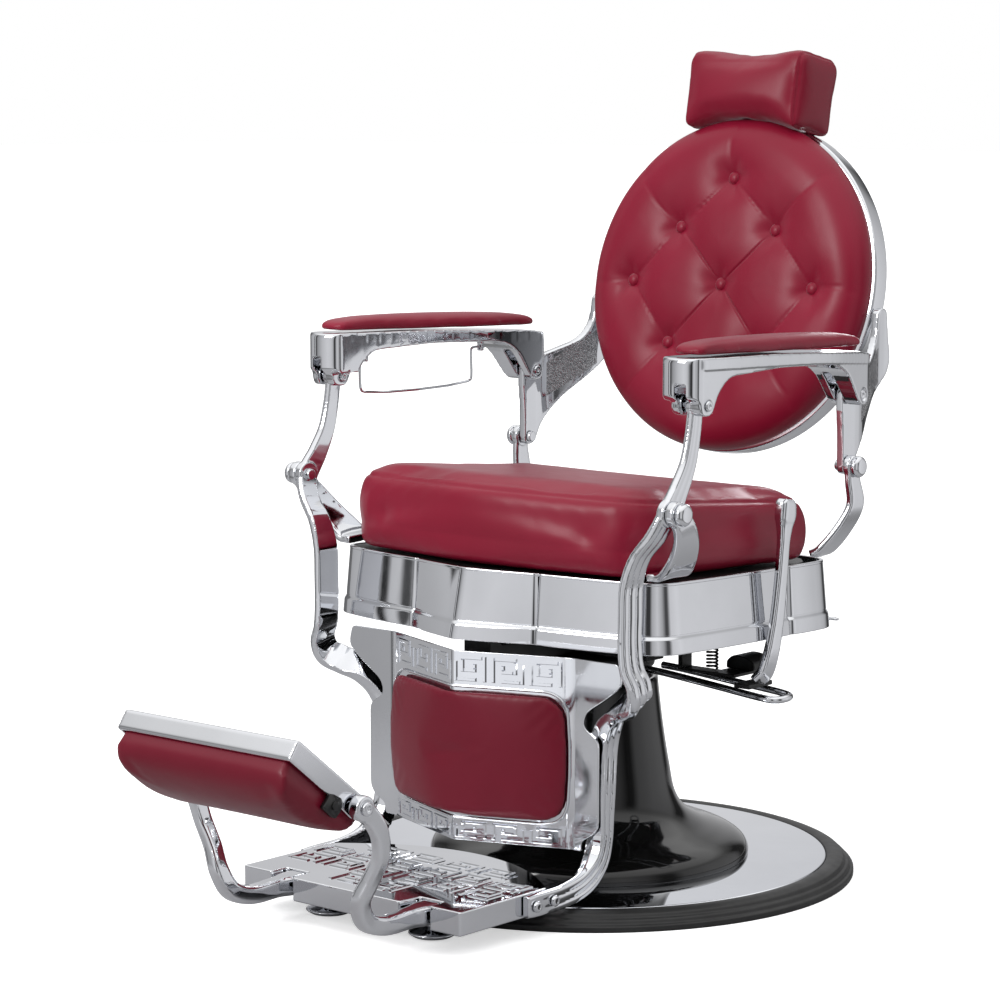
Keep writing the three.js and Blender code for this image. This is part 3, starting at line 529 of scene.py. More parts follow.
def cast_node(name, new_name, material, body, voxel=1.5, rounds=8, extra=()):
    """Shows a CAD node as a casting: a copy of its mesh, with extra shells, melted and smoothed."""
    piece = bpy.data.objects.new(new_name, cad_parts[name].data.copy())
    work = bmesh.new()
    work.from_mesh(piece.data)
    for vertices, faces in extra:
        made = [work.verts.new(Vector(v) * MM) for v in vertices]
        for face in faces:
            work.faces.new([made[i] for i in face])
    work.to_mesh(piece.data)
    work.free()
    scene.collection.objects.link(piece)
    cast(piece, voxel, rounds)
    return register(piece, material, body, name)


def make_smooth_group():
    group = bpy.data.node_groups.new("shade_smooth", "GeometryNodeTree")
    for way in ("INPUT", "OUTPUT"):
        group.interface.new_socket("Geometry", in_out=way, socket_type="NodeSocketGeometry")
    entry = group.nodes.new("NodeGroupInput")
    leave = group.nodes.new("NodeGroupOutput")
    shade = group.nodes.new("GeometryNodeSetShadeSmooth")
    group.links.new(entry.outputs[0], shade.inputs["Geometry"])
    group.links.new(shade.outputs["Geometry"], leave.inputs[0])
    return group


SMOOTH_GROUP = make_smooth_group()


# ---- base and column ----
def build_base():
    plate = open_line([(0, 1), (PLATE_R, 1), (PLATE_R, BASE_TOP, 2.5), (0, BASE_TOP)], 4)
    mesh_object("mirror_plate", *turned(plate, 160), MIRROR, "base", "base_plate")

    rim = rounded([
        (PLATE_R + 0.4, 0), (BASE_R, 0, 1), (BASE_R, 8, 2), (BASE_R - 5, 10, 1.5), (BASE_R - 7, 15, 2),
        (BASE_R - 12, 17, 1.5), (BASE_R - 14, 21.5, 2.5), (BASE_R - 24, 25, 4), (PLATE_R + 8, 25.2, 3),
        (PLATE_R + 0.4, 23.5, 2),
    ], steps=5)
    mesh_object("rubber_rim", *turned(rim, 180, closed=True), RUBBER, "base", "base_rim")

    outer = [Vector((r, h, 0)) for r, h in (
        (226, 24.4), (226, 31), (221, 42), (208, 52), (186, 61), (160, 71), (136, 86), (122, 108),
        (113, 151), (104, 208), (96, 277))]
    inner = [(90, 277), (98, 208), (115, 108), (130, 80), (160, 62), (205, 48), (219, 24.4)]
    profile = [tuple(spline(outer, i / 70)[:2]) for i in range(71)] + inner
    mesh_object("bell_cover_gloss", *turned(profile, 144, closed=True), GLOSS_BLACK, "base", "bell_cover")

    rod = open_line([(0, 60), (45, 60), (45, 278, 2), (80, 280, 2), (80, 290, 2), (0, 290)])
    mesh_object("lift_piston", *turned(rod, 96), CHROME, "lift", "piston")
    hub = open_line([(0, 290.4), (88, 290.4, 2), (92, 294, 3), (92, 312, 4), (70, 319, 3), (0, 319)])
    mesh_object("turntable_hub", *turned(hub, 96), BLACK_STEEL, "seat_frame", "turntable")
    keep_node("pump_cylinder", BLACK_STEEL)


# ---- seat frame ----
# Plan of the skirt's top edge on the +X side, from the prow round to the rear. Grooves part its facets.
SKIRT_CORNERS = [
    (0, -270, 9), (103.5, -245, 2.5), (108, -239.5, 2), (112.5, -242.5, 2.5), (288, -208, 44),
    (272, 88, 2.5), (267.5, 93, 2.5), (267.5, 98, 2.5), (271.5, 104, 2.5), (264, 224, 120), (120, 226, 8),
]


def skirt_plan():
    """The closed plan of the skirt, both sides, from the prow, its long sides bowed out a little."""
    full = SKIRT_CORNERS + [(0, 230, 10)] + [(-x, y, r) for x, y, r in reversed(SKIRT_CORNERS[1:])]
    corners = rounded(full, steps=11)
    plan = []
    for i, a in enumerate(corners):
        b = corners[(i + 1) % len(corners)]
        length = (b - a).length
        pieces = math.ceil(length / 12) if length > 40 else 1
        out = Vector((b.y - a.y, a.x - b.x)).normalized()
        for k in range(pieces):
            t = k / pieces
            plan.append(a.lerp(b, t) + out * min(3.5, 0.02 * length) * 4 * t * (1 - t))
    return plan


def skirt_top(y):
    return SKIRT_TOP - SKIRT_LEAN * (y + 290)


def build_skirt():
    # How far out and how high above the lower edge.
    section = rounded([
        (-5, 0), (2.6, 0, 1.6), (2.4, 20, 1.8), (0.2, 23.5, 1.2), (-0.4, 25, 0.8), (0, 26.5, 0.8),
        (0, 91, 1.2), (0.5, 92, 0.8), (0.5, SKIRT_TALL, 1.4), (-5, SKIRT_TALL, 1.2),
    ], steps=3)
    plan = skirt_plan()
    loops = []
    for i, point in enumerate(plan):
        side = (plan[(i + 1) % len(plan)] - plan[i - 1]).normalized()
        out = Vector((side.y, -side.x))
        prow = max(0, 1 - abs(point.x) / 108) if point.y < 0 else 0
        loop = []
        for reach, height in section:
            drop = 1 - height / SKIRT_TALL
            at = point + out * (reach + SKIRT_FLARE * drop)
            at.y -= PROW_FLARE * prow * drop
            loop.append(Vector((at.x, at.y, skirt_top(point.y) - SKIRT_TALL + height)))
        loops.append(loop)
    mesh_object("seat_skirt_sheet", *skin(loops, closed=True), SHEET, "seat_frame", "seat_skirt")
    keep_node("seat_deck", BLACK_STEEL)
    keep_node("subframe", BLACK_STEEL, 1.5)


def knob(inner, head, shank_end, outer, radius, y, z):
    """Bolt head on the inside, shank, and a domed knob outside with a shallow collar."""
    profile = open_line([
        (0, inner), (7.5, inner, 1.2), (8.5, head, 0.6), (5.9, head), (5.9, shank_end),
        (radius - 2, shank_end, 1), (radius, shank_end + 2.5, 1.6), (radius, outer - 5, 4),
        (radius * 0.72, outer - 0.6, 5), (0, outer),
    ], 5)
    return turned_x(profile, y, z, 56)


def pivot_bracket(stations, pivot, x0, x1, radius):
    strap = sweep(stations, bar_section, wide=AXIS_Y, samples=60)
    return join_meshes([strap, disc_x(radius, x0, x1, 1.5, pivot)])


def build_brackets():
    front = pivot_bracket([
        (271, -180, 466, 11.5, 66), (287, -182, 468.5, 11.5, 64), (306, -190, 486, 12, 56),
        (326, -205, 514, 12, 45), (336.5, -222, 539, 12, 36), (337.5, -236, 556, 12, 32),
    ], LEVER_PIVOT, 331, 344, 17)
    add_pair("front_bracket_cast", front, "seat_frame", "front_bracket", finish=cast)
    rear = pivot_bracket([
        (259, 178, 453.5, 11.5, 46), (273, 183, 461, 11.5, 44), (293, 197, 490, 11.5, 38),
        (305, 209, 524, 11.5, 34), (304, 204, 557, 11.5, 28), (303, 203, 574, 11.5, 26),
    ], BACK_PIVOT, 297, 309, 15.5)
    add_pair("rear_bracket_cast", rear, "seat_frame", "rear_bracket", finish=cast)
    knobs = {
        "front_knob": knob(312, 317.5, 344.4, 357, 15, *LEVER_PIVOT),
        "rear_knob": knob(278, 283.5, 309.4, 322, 15, *BACK_PIVOT),
    }
    for name, part in knobs.items():
        add_pair(f"{name}_dome", part, "seat_frame", name)


def build_mechanism():
    turns, steps = 7, 260
    angles = [2 * math.pi * turns * i / steps for i in range(steps + 1)]
    coil = [(7.5 * math.cos(a), 7.5 * math.sin(a), 34 * i / steps) for i, a in enumerate(angles)]
    spring = sweep(coil, round_section(1.5, 10), flat=AXIS_Z, samples=420)
    spring = moved(spring, Matrix.Translation((200, 22, 306)))
    mesh_object("return_spring_coil", *spring, BLACK_STEEL, "seat_frame", "return_spring")
    keep_node("spring_bracket", BLACK_STEEL, 0.8)
    outline = rounded([
        (206, 304, 2), (254, 304, 4), (254, 315, 9), (236, 323, 12), (216, 323, 10), (206, 314, 4),
    ], steps=6)
    guard = slab(outline, "xz", 46, 90)
    soften(mesh_object("handle_guard_cover", *guard, BLACK_STEEL, "seat_frame", "handle_guard"), 1.5)
    path = [
        (206, 231, 352), (236, 238, 352), (250, 248, 351), (242, 257, 350), (226, 254, 350),
        (196, 238, 350)]
    ring = sweep(path, round_section(2), flat=(0.31, 0.17, 0.93), samples=70)
    mesh_object("rear_wire_ring", *ring, CHROME, "seat_frame", "rear_ring")


def build_handle():
    loop = [(96, 6, 295), (130, 4, 293.5), (220, 0, 287), (304, -3, 280.5), (320, 2, 279), (326, 20, 279),
            (320, 38, 279.5), (304, 43, 281), (220, 44, 287), (130, 45, 293.5), (96, 45, 295)]
    rod = sweep(loop, round_section(5, 20), flat=AXIS_Z, samples=120)
    mesh_object("handle_loop_rod", *rod, CHROME, "pump_handle", "handle_loop")
    lever = sweep([
        (298, 56, 546, 17, 22), (298, 55, 540, 20, 31), (298, 54, 524, 20, 33), (298, 52, 507, 15, 25),
        (298, 50, 485, 12.5, 20), (298, 45, 436, 12, 21), (297, 37, 376, 12, 24), (294, 29, 334, 13, 27),
        (288, 24, 309, 13.5, 28), (278, 20, 297.5, 12, 27),
    ], bar_section, flat=AXIS_X, samples=110)
    cast(mesh_object("hand_lever_cast", *lever, CHROME, "pump_handle", "hand_lever"), 1.3)
    keep_node("handle_foot", BLACK_STEEL, 1.2)


# ---- levers, leg rest and foot rest ----
# Centre line of a lever as (x, y, z, thickness, width, depth of the grooves).
LEVER_STATIONS = [
    (324, -183, 688, 11, 24, 0.4), (324, -188, 655, 11, 25, 0.4), (324, -198, 618, 11.5, 27, 0.4),
    (324, -217, 585, 12, 32, 0.4), (323.5, -238, 555, 12, 36, 0.6), (311, -247, 527, 12, 36, 1.0),
    (288, -251, 497, 12, 38, 2.2), (276, -252, 463, 12, 42, 2.8), (274, -252, 420, 12, 43, 2.8),
    (274, -252, 375, 12, 43, 2.8), (277, -251, 350, 12, 43, 2.8), (286, -248, 328, 13, 43, 2.6),
    (282, -243, 309, 16, 43, 2.2), (262, -235, 299, 17, 42, 1.4), (234, -224, 288, 20, 40, 1.0),
    (210, -214, 266, 24, 37, 1.6), (LEG_X + 2, -209, 236, 27, 36, 2.6), (LEG_X, -212, 176, 28, 35, 2.8),
    (LEG_X, -213.5, 140, 28, 32, 2.8), (LEG_X, -215, 107, 28, 29, 2.8), (LEG_X + 2, -226, 79, 26, 32, 2.8),
    (LEG_X + 6, -254, 56, 16, 35, 2.4),
    (LEG_X + 8, -300, 46, 11, 34, 1.6), (LEG_X + 8, -352, 45, 11, 33, 0.6),
    (LEG_X + 8, -376, 45, 11, 30, 0.5),
]


def hex_socket_painted_shade(x, y, z):
    """A dark hexagonal floor in the socket of a socket-head bolt that faces +X: painted shade for the depth
    of the hex hole.
    """
    return slab([(y + a, z + b) for a, b in circle(3.1, 6)], "yz", x, x + 0.5)


def build_levers():
    bar = sweep(LEVER_STATIONS, reeded_section, flat=AXIS_X, samples=230)
    pin_eye = disc_x(14, 318, 330, 1.2, LEVER_PIN)
    pivot_eye = disc_x(18, 318, 330, 1.2, LEVER_PIVOT)
    part = join_meshes([bar, pin_eye, pivot_eye])
    add_pair("lever_cast", part, "leg_rest", "lever", finish=lambda piece: cast(piece, 1.2, 5))
    bolt = open_line([
        (0, 208.4), (7.5, 208.4, 0.5), (7.5, 211, 0.8), (5.5, 213.4, 0.8), (3.4, 213.4, 0.3),
        (3.2, 211.2), (0, 211.2)])
    for place, at in FOOT_BOLTS.items():
        name = f"foot_bolt_{place}"
        add_pair(f"{name}_head", turned_x(bolt, *at, 40), "leg_rest", name)
        # Black slabs in the sockets: painted shade for the deep hex holes.
        add_pair(f"{name}_socket", hex_socket_painted_shade(211.5, *at), "leg_rest", material=BLACK_STEEL)


# One unit of the raised key pattern as bars (x0, x1, z0, z1) on a ten by eight grid.
KEY_BARS = [
    (0.4, 1.5, 0.4, 7.6), (1.5, 8.2, 6.5, 7.6), (7.1, 8.2, 3.0, 6.5), (3.4, 7.1, 3.0, 4.1),
    (3.4, 4.5, 4.1, 5.4), (9.2, 10.3, 0.4, 6.0), (3.4, 9.2, 0.4, 1.5),
]


def raised_bar(x0, x1, z0, z1, height, place):
    """A low bar with sloping sides laid on a surface; place(x, z, lift) gives the point."""
    inset = min(0.5 * height, 0.3 * (x1 - x0), 0.3 * (z1 - z0))

    def level(lift, inset):
        a, b, c, d = x0 + inset, x1 - inset, z0 + inset, z1 - inset
        return [place(*p, lift) for p in ((a, c), (b, c), (b, d), (a, d))]

    return skin([level(-0.6, 0), level(0.1, 0), level(height, inset)])


def key_pattern(units, height, place):
    """Units are (x, z, width, height, mirrored)."""
    bars = []
    for x, z, wide, tall, flip in units:
        for a, b, c, d in KEY_BARS:
            if flip:
                a, b = 10.7 - b, 10.7 - a
            across = (x + wide * a / 11, x + wide * b / 11)
            up = (z + tall * c / 8, z + tall * d / 8)
            bars.append(raised_bar(*across, *up, height, place))
    return join_meshes(bars)


def on_panel(x, z, lift):
    """A point on the folded front of the calf panel."""
    return Vector((x, -293 + abs(x) * 58 / 160 - lift, z))


def on_footplate(x, y, lift):
    return Vector((x, y, FOOTPLATE_TOP + lift))


def build_calf_panel():
    keep_node("calf_panel", SHEET, 0.8, 40)
    for low, high, name in ((307, 346, "upper"), (93, 118, "lower")):
        units = [(-152 + 51 * k, low, 49, high - low, k % 2) for k in range(6)]
        keys = key_pattern(units, 2.0, on_panel)
        mesh_object(f"calf_panel_keys_{name}", *keys, SHEET, "leg_rest", smooth=False)
    outline = rounded(both_sides([(155, 302, 34), (160, 212, 80), (155, 122, 34)]), steps=14)
    path = [tuple(on_panel(p.x, p.y, 1.5)) for p in densify(outline, 5)]
    trim = sweep(path, round_section(1.7, 12), flat=AXIS_Y, samples=len(path), loop=True)
    mesh_object("calf_pad_trim", *trim, CHROME, "leg_rest")


def densify(points, step):
    """Splits the sides of a closed outline into pieces no longer than step."""
    dense = []
    for i, a in enumerate(points):
        b = points[(i + 1) % len(points)]
        pieces = max(1, math.ceil((b - a).length / step))
        dense.extend(a.lerp(b, k / pieces) for k in range(pieces) if (b - a).length > 0.01)
    return dense


def build_footplate_keys():
    rows = [(-478, 46, 186), (-428, 46, 186), (-378, 44, 186), (-330, 40, 130)]
    units = []
    for row, (y, tall, half) in enumerate(rows):
        count = round(2 * half / 60)
        for k in range(count):
            x = -half + 2 * half * k / count
            notch = 86 < abs(x + half / count) < 156 and y < -470
            if not notch:
                units.append((x + 2, y, 2 * half / count - 4, tall, (k + row) % 2))
    keys = key_pattern(units, 1.7, on_footplate)
    mesh_object("footplate_keys", *keys, CHROME, "leg_rest", smooth=False)


def build_leg_rest():
    build_calf_panel()
    build_footplate_keys()
    plate = slab(rounded([
        (0, -236, 80), *both_sides([
            (110, -262, 60), (195, -325, 6), (195, -497, 4), (142, -497, 4), (142, -468, 3), (100, -468, 3),
            (96, -505, 4)]),
    ], steps=8), "xy", FOOTPLATE_BOTTOM, FOOTPLATE_TOP)
    soften(mesh_object("footplate_cast", *plate, CHROME, "leg_rest", "footplate"), 3, 4)
    glide = turned(open_line([
        (0, 1.5), (26, 1.5, 1), (33, 6, 3), (31, 9, 1.5), (18, 12, 3), (10, 16, 2),
        (10, FOOTPLATE_BOTTOM - 0.4), (0, FOOTPLATE_BOTTOM - 0.4)], 4), 72)
    glide = moved(glide, Matrix.Translation((93, -436, 0)))
    add_pair("glide_foot", glide, "leg_rest", "glide")
    bar = sweep([
        (121, -469.5, 45, 36, 28), (121, -492, 45, 33, 27.5), (121, -512, 45, 24, 26),
        (121, -562, 45, 22.5, 25), (121.5, -594, 57, 21.5, 25), (127, -609, 85, 20.5, 24),
        (142, -606, 116, 18.5, 23), (159, -606, 147, 17, 23), (164.5, -613, 178, 16.5, 24),
        (164.5, -628, 202, 16.5, 26), (164.5, -640, 212, 16, 27)],
        lambda thick, width, _: bar_section(thick, width, corner=0.3), flat=AXIS_X, samples=140)
    eye = disc_x(16.5, 156.5, 173, 2, FLIP_PIVOT, steps=4)
    add_pair("s_bracket_cast", join_meshes([bar, eye]), "leg_rest", "s_bracket", finish=cast)
    bolt = open_line([
        (0, 153.4), (5.9, 153.4), (5.9, 173.4), (9, 173.4, 0.4), (9, 176.5, 1), (7, 177.8, 0.8),
        (4, 177.8, 0.4), (3.8, 175.4), (0, 175.4)])
    add_pair("flip_bolt_head", turned_x(bolt, *FLIP_PIVOT, 40), "leg_rest", "flip_bolt")


def build_flip_rest():
    cast_node("flip_tray", "flip_tray_sheet", SHEET, "flip_rest", 1.5, 5)
    block = rounded([(-56, -28, 3), (-30, -30, 3), (-26, -16, 3), (-34, -4, 3), (-52, -6, 3)], steps=4)
    part = slab([(p.x, p.y) for p in block], "yz", 152.5, 160)
    stud = disc_x(6, 160, 163, 1, (-41, -17), sides=6)
    for name, piece in (("block", part), ("stud", stud)):
        add_pair(f"flip_stop_{name}", moved(piece, ON_FLIP), "flip_rest", material=BLACK_STEEL)


# ---- arms ----
def arm_band(low, high, proud):
    """A flat band that stands proud round the upper edge of an arm, following its plan."""
    plan = rounded([
        (290, -206, 12), (347, -206, 16), (349, -120, 40), (337, 100, 40), (318, 224, 12), (274, 224, 8),
        (268, 100, 40), (286, -120, 40)], steps=8)
    middle = Vector((310, 0))
    rows = []
    for lift, reach in ((low, 0.0), (low + 1.5, proud), (high - 1.5, proud), (high, 0.0)):
        row = []
        for i, p in enumerate(plan):
            side = (plan[(i + 1) % len(plan)] - plan[i - 1]).normalized()
            out = Vector((side.y, -side.x))
            if out.dot(p - middle) < 0:
                out = -out
            at = p + out * reach
            row.append(Vector((at.x, at.y, arm_top(at.y) + lift)))
        rows.append(row)
    return skin(rows)


def arm_top(y):
    """Height of the top edge of the arm along its length."""
    if y < -20:
        return 757 - 5 * (y + 209) / 189
    return 752 - 15 * ((y + 20) / 240) ** 1.3


def build_arms():
    band = arm_band(-17, -1.0, 1.8)
    for side in ("left", "right"):
        extra = [band if side == "left" else mirrored(band)]
        node = f"arm_frame_{side}"
        piece = cast_node(node, f"arm_frame_cast_{side}", CHROME, f"arm_{side}", 1.4, 8, extra)
        # The front end bulges forward between its two cheeks.
        for vertex in piece.data.vertices:
            x, y, _ = vertex.co / MM
            front = min(1.0, max(0.0, (-186 - y) / 18))
            across = (abs(x) - 318) / 30
            vertex.co.y -= 9 * front * max(0.0, 1 - across * across) * MM
    pin = open_line([
        (0, -2.6), (2.6, -2.6), (2.8, -3.6, 0.2), (5.8, -3.6, 0.8), (7, -1.8, 1.0), (7, -0.4), (4.4, -0.4),
        (4.4, 44.9), (7, 44.9), (7, 46.3, 1.0), (5.8, 48.1, 0.8), (2.8, 48.1, 0.2), (2.6, 47.1), (0, 47.1)])
    for name, x, place in (("front_arm_pin", 302, LEVER_PIN), ("rear_arm_pin", 272, BACK_PIN)):
        part = turned_x([(r, h + x) for r, h in pin], *place, 40)
        add_pair(f"{name}_head", part, "arm", name)
    keep_node("towel_bar", CHROME, 0.3)


# ---- back ----
def bracket_edge(y):
    """Height of the polished lower rim of a back bracket."""
    return 625 + (y - 245) * 0.56


def build_back():
    shell = open_line([
        (0, 55.4), (240, 55.4), (246, 57, 2), (246, 85, 3), (232, 92, 10), (190, 101, 20), (110, 108, 30),
        (0, 110)], 6)
    part = moved(turned(shell, 160), ON_BACK @ Matrix.Rotation(-math.pi / 2, 4, "X"))
    mesh_object("back_shell_sheet", *part, SHEET, "backrest", "back_shell")
    for side in ("left", "right"):
        piece = cast_node(f"back_bracket_{side}", f"back_bracket_cast_{side}", CHROME, "backrest", 1.6, 8)
        piece.data.materials.append(HAMMERED)
        for face in piece.data.polygons:
            at = face.center / MM
            web = 238 < at.y < 322 and bracket_edge(at.y) + 15 < at.z < bracket_edge(at.y) + 66
            if web and abs(face.normal.z) < 0.5:
                face.material_index = 1
    for name in ("headrest_guide", "headrest_post", "headrest_yoke"):
        keep_node(name, CHROME, 1.2)


# ---- upholstery ----
# Front face of the round back as (distance from its centre, depth behind its front plane).
BACK_PROFILE = [Vector((r, d, 0)) for r, d in (
    (0, 3), (60, 3), (115, 3), (155, 3), (190, 3.5), (214, 7.5), (231, 16), (241, 27), (245, 40), (243, 49),
    (241, 55))]
BUTTONS = [(0, 154), (-86, 79), (86, 79), (-163, -3), (0, -3), (163, -3), (-84, -93), (84, -93), (0, -168)]
# Folds run between neighbouring buttons, and from the outer buttons to the rim.
FOLDS = [(0, 1), (0, 2), (1, 3), (1, 4), (2, 4), (2, 5), (3, 6), (4, 6), (4, 7), (5, 7), (6, 8), (7, 8)]
RIM_FOLDS = [
    (0, (0, 240)), (1, (-172, 166)), (2, (172, 166)), (3, (-242, -6)), (5, (242, -6)),
    (6, (-160, -178)), (7, (160, -178)), (8, (0, -240)),
]


def along_segment(p, a, b):
    """Distance from p to the segment a-b, and the share of the way along it."""
    line = b - a
    t = min(max((p - a).dot(line) / line.length_squared, 0.0), 1.0)
    return (p - a - line * t).length, t


def fold_lines():
    points = [Vector(b) for b in BUTTONS]
    lines = [(points[i], points[j], 1.0) for i, j in FOLDS]
    lines += [(points[i], Vector(rim), 0.25) for i, rim in RIM_FOLDS]
    return points, lines


def tuft_depth(p, points, lines):
    """How far the leather is pulled in at p by the buttons and the folds between them."""
    depth = 0.0
    for a, b, end in lines:
        bow = (b - a).orthogonal().normalized() * 5.0
        d, t = along_segment(p, a, b)
        if d > 40:
            continue
        middle = a.lerp(b, t) + bow * math.sin(math.pi * t)
        d = (p - middle).length if 0.0 < t < 1.0 else d
        share = 1 + (end - 1) * t
        depth = max(depth, share * (3.0 * math.exp(-(d / 17) ** 1.5) + 2.4 * math.exp(-(d / 1.7) ** 2)))
    for i, button in enumerate(points):
        away = p - button
        d = away.length
        if d > 90:
            continue
        angle = math.atan2(away.y, away.x)
        pleat = 1.0 + 0.10 * math.cos(5 * angle + 1.3 * i) * math.exp(-((d - 24) / 14) ** 2)
        dimple = 14 * math.exp(-(d / 18) ** 1.5) + 6 * math.exp(-(d / 40) ** 2)
        depth += (dimple - depth * math.exp(-(d / 26) ** 2)) * pleat if dimple > 0.02 else 0.0
    return depth


def profile_depth(share):
    at = spline(BACK_PROFILE, share)
    return at.x, at.y


def build_back_cushion():
    """A round dome tufted with nine buttons."""
    points, lines = fold_lines()
    rings, sides = 118, 330
    loops = []
    for i in range(rings + 1):
        r, d = profile_depth(i / rings)
        loop = []
        for k in range(sides):
            angle = 2 * math.pi * k / sides
            p = Vector((max(r, 0.5) * math.cos(angle), max(r, 0.5) * math.sin(angle)))
            pull = tuft_depth(p, points, lines) * min(1.0, max(0.0, (40 - d) / 20))
            lumps = 0.9 * noise.noise(Vector((p.x * 0.016, p.y * 0.016, 4.0)))
            loop.append(ON_BACK @ Vector((p.x, d + pull + lumps * min(1, pull + 0.3), p.y)))
        loops.append(loop)
    leather = mesh_object("back_cushion_leather", *skin(loops), LEATHER, "backrest", "back_cushion")
    leather.visible_glossy = False  # keeps the arms and brackets from mirroring a large red disc
    button = open_line([(0, -9.5), (6.5, -8.2, 4), (10.4, -3.5, 4), (10.6, 1, 2), (8, 4)], 5)
    shells = []
    for p in points:
        bed = 20 + profile_at(p.length)
        place = ON_BACK @ Matrix.Translation((p.x, bed + 0.5, p.y)) @ Matrix.Rotation(-math.pi / 2, 4, "X")
        shells.append(moved(turned(button + [Vector((0.0, 4.0))], 40), place))
    mesh_object("back_buttons", *join_meshes(shells), LEATHER, "backrest")


def profile_at(radius):
    for i in range(201):
        r, d = profile_depth(i / 200)
        if r >= radius:
            return d
    return 55.0


CLOTH_FRAMES = 20
CLOTH = {
    "quality": 5, "mass": 0.3, "tension_stiffness": 12, "compression_stiffness": 12, "shear_stiffness": 6,
    "bending_stiffness": 1.5, "use_pressure": True, "uniform_pressure_force": 4.0,
    "vertex_group_mass": "glued",
}


def inflate(piece, cap, glued):
    """Blows a piece up with a short cloth simulation. Vertices for which glued() holds stay put."""
    start = [v.co.copy() for v in piece.data.vertices]
    group = piece.vertex_groups.new(name="glued")
    group.add([v.index for v in piece.data.vertices if glued(v.co / MM)], 1.0, "REPLACE")
    cloth = modifier(piece, "CLOTH", "inflate")
    for key, value in CLOTH.items():
        setattr(cloth.settings, key, value)
    cloth.settings.effector_weights.gravity = 0
    cloth.point_cache.frame_start = 1
    cloth.point_cache.frame_end = CLOTH_FRAMES
    for step in range(1, CLOTH_FRAMES + 1):
        scene.frame_set(step)
    graph = bpy.context.evaluated_depsgraph_get()
    swollen = piece.evaluated_get(graph).to_mesh()
    ends = [v.co.copy() for v in swollen.vertices]
    piece.evaluated_get(graph).to_mesh_clear()
    piece.modifiers.clear()
    piece.vertex_groups.clear()
    scene.frame_set(1)
    for vertex, a, b in zip(piece.data.vertices, start, ends):
        shift = b - a
        if shift.length > cap * MM:
            shift *= cap * MM / shift.length
        vertex.co = a + shift
    modifier(piece, "SMOOTH", "smooth", iterations=3)
    apply_modifiers(piece)


def cushion(name, node, body, voxel, cap, glued=None, seams=None, rounds=4, calm=2, material=LEATHER):
    """A padded piece grown from its CAD solid: remeshed, inflated, subdivided and grooved at its seams."""
    piece = bpy.data.objects.new(name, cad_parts[node].data.copy())
    scene.collection.objects.link(piece)
    modifier(piece, "WELD", "weld", merge_threshold=0.01 * MM)
    modifier(piece, "REMESH", "remesh", mode="VOXEL", voxel_size=voxel * MM, use_smooth_shade=True)
    modifier(piece, "SMOOTH", "smooth", iterations=rounds)
    apply_modifiers(piece)
    inflate(piece, cap, glued or (lambda co: False))
    modifier(piece, "SMOOTH", "calm", iterations=calm)
    modifier(piece, "SUBSURF", "subdivide", levels=1, render_levels=1)
    apply_modifiers(piece)
    if seams:
        normals = [v.normal.copy() for v in piece.data.vertices]
        for vertex, normal in zip(piece.data.vertices, normals):
            vertex.co -= normal * seams(vertex.co / MM, normal) * MM
    register(piece, material, body, node)


def seat_seams(co, normal):
    """A sewn seam just below the top edge of the seat cushion, and a soft fold across its front."""
    top = 551 - 0.092 * (co.y - 19)
    below = top - co.z
    seam = 1.6 * math.exp(-((below - 11) / 2.2) ** 2) if abs(normal.z) < 0.9 else 0.0
    welt = -0.8 * math.exp(-((below - 6) / 3.0) ** 2) if abs(normal.z) < 0.9 else 0.0
    fold = 0.0
    if normal.y < -0.3:
        fold = 0.7 * math.exp(-((below - 34 - 4 * math.sin(co.x * 0.013)) / 12) ** 2)
    swell = 5.5 * (1 - normal.z ** 2) * math.sin(math.pi * min(1.0, max(0.0, (below + 4) / 80)))
    return seam + welt + fold - swell


def headrest_seams(co, normal):
    """Seams between the two end panels of the headrest pad and its body, and a fuller front face."""
    along = min(1.0, (co.x / 92) ** 2)
    up = min(1.0, ((co.z - 1091) / 46) ** 2)
    full = 9.0 * (1 - along) * (1 - up) if normal.y < -0.2 else 0.0
    seam = 1.3 * math.exp(-((abs(co.x) - 98) / 1.6) ** 2)
    welt = 0.6 * math.exp(-((abs(co.x) - 94) / 2.5) ** 2)
    return seam - welt - full


def build_upholstery():
    cushion("seat_cushion_leather", "seat_cushion", "seat_frame", voxel=6.0, cap=9, calm=12,
            glued=lambda co: co.z < skirt_top(co.y) + 12, seams=seat_seams)
    build_back_cushion()
    cushion("headrest_leather", "headrest_pad", "headrest", voxel=5.0, cap=5, seams=headrest_seams)
    # The calf and flip pads use the leather with painted shade: they sit low and less light reaches them.
    cushion("calf_pad_leather", "calf_pad", "leg_rest", voxel=4.0, cap=7, rounds=14, calm=6,
            material=LEATHER_PAINTED_SHADE, glued=lambda co: co.y > -299 + abs(co.x) * 0.37)
    cushion("flip_pad_leather", "flip_pad", "flip_rest", voxel=4.5, cap=7,
            material=LEATHER_PAINTED_SHADE, glued=lambda co: (ON_FLIP.inverted() @ co).z > -10)
    for side in ("left", "right"):
        cushion(f"arm_pad_leather_{side}", f"arm_pad_{side}", f"arm_{side}", voxel=4.0, cap=5,
                glued=lambda co: co.z < 756.5 - 0.0321 * co.y)


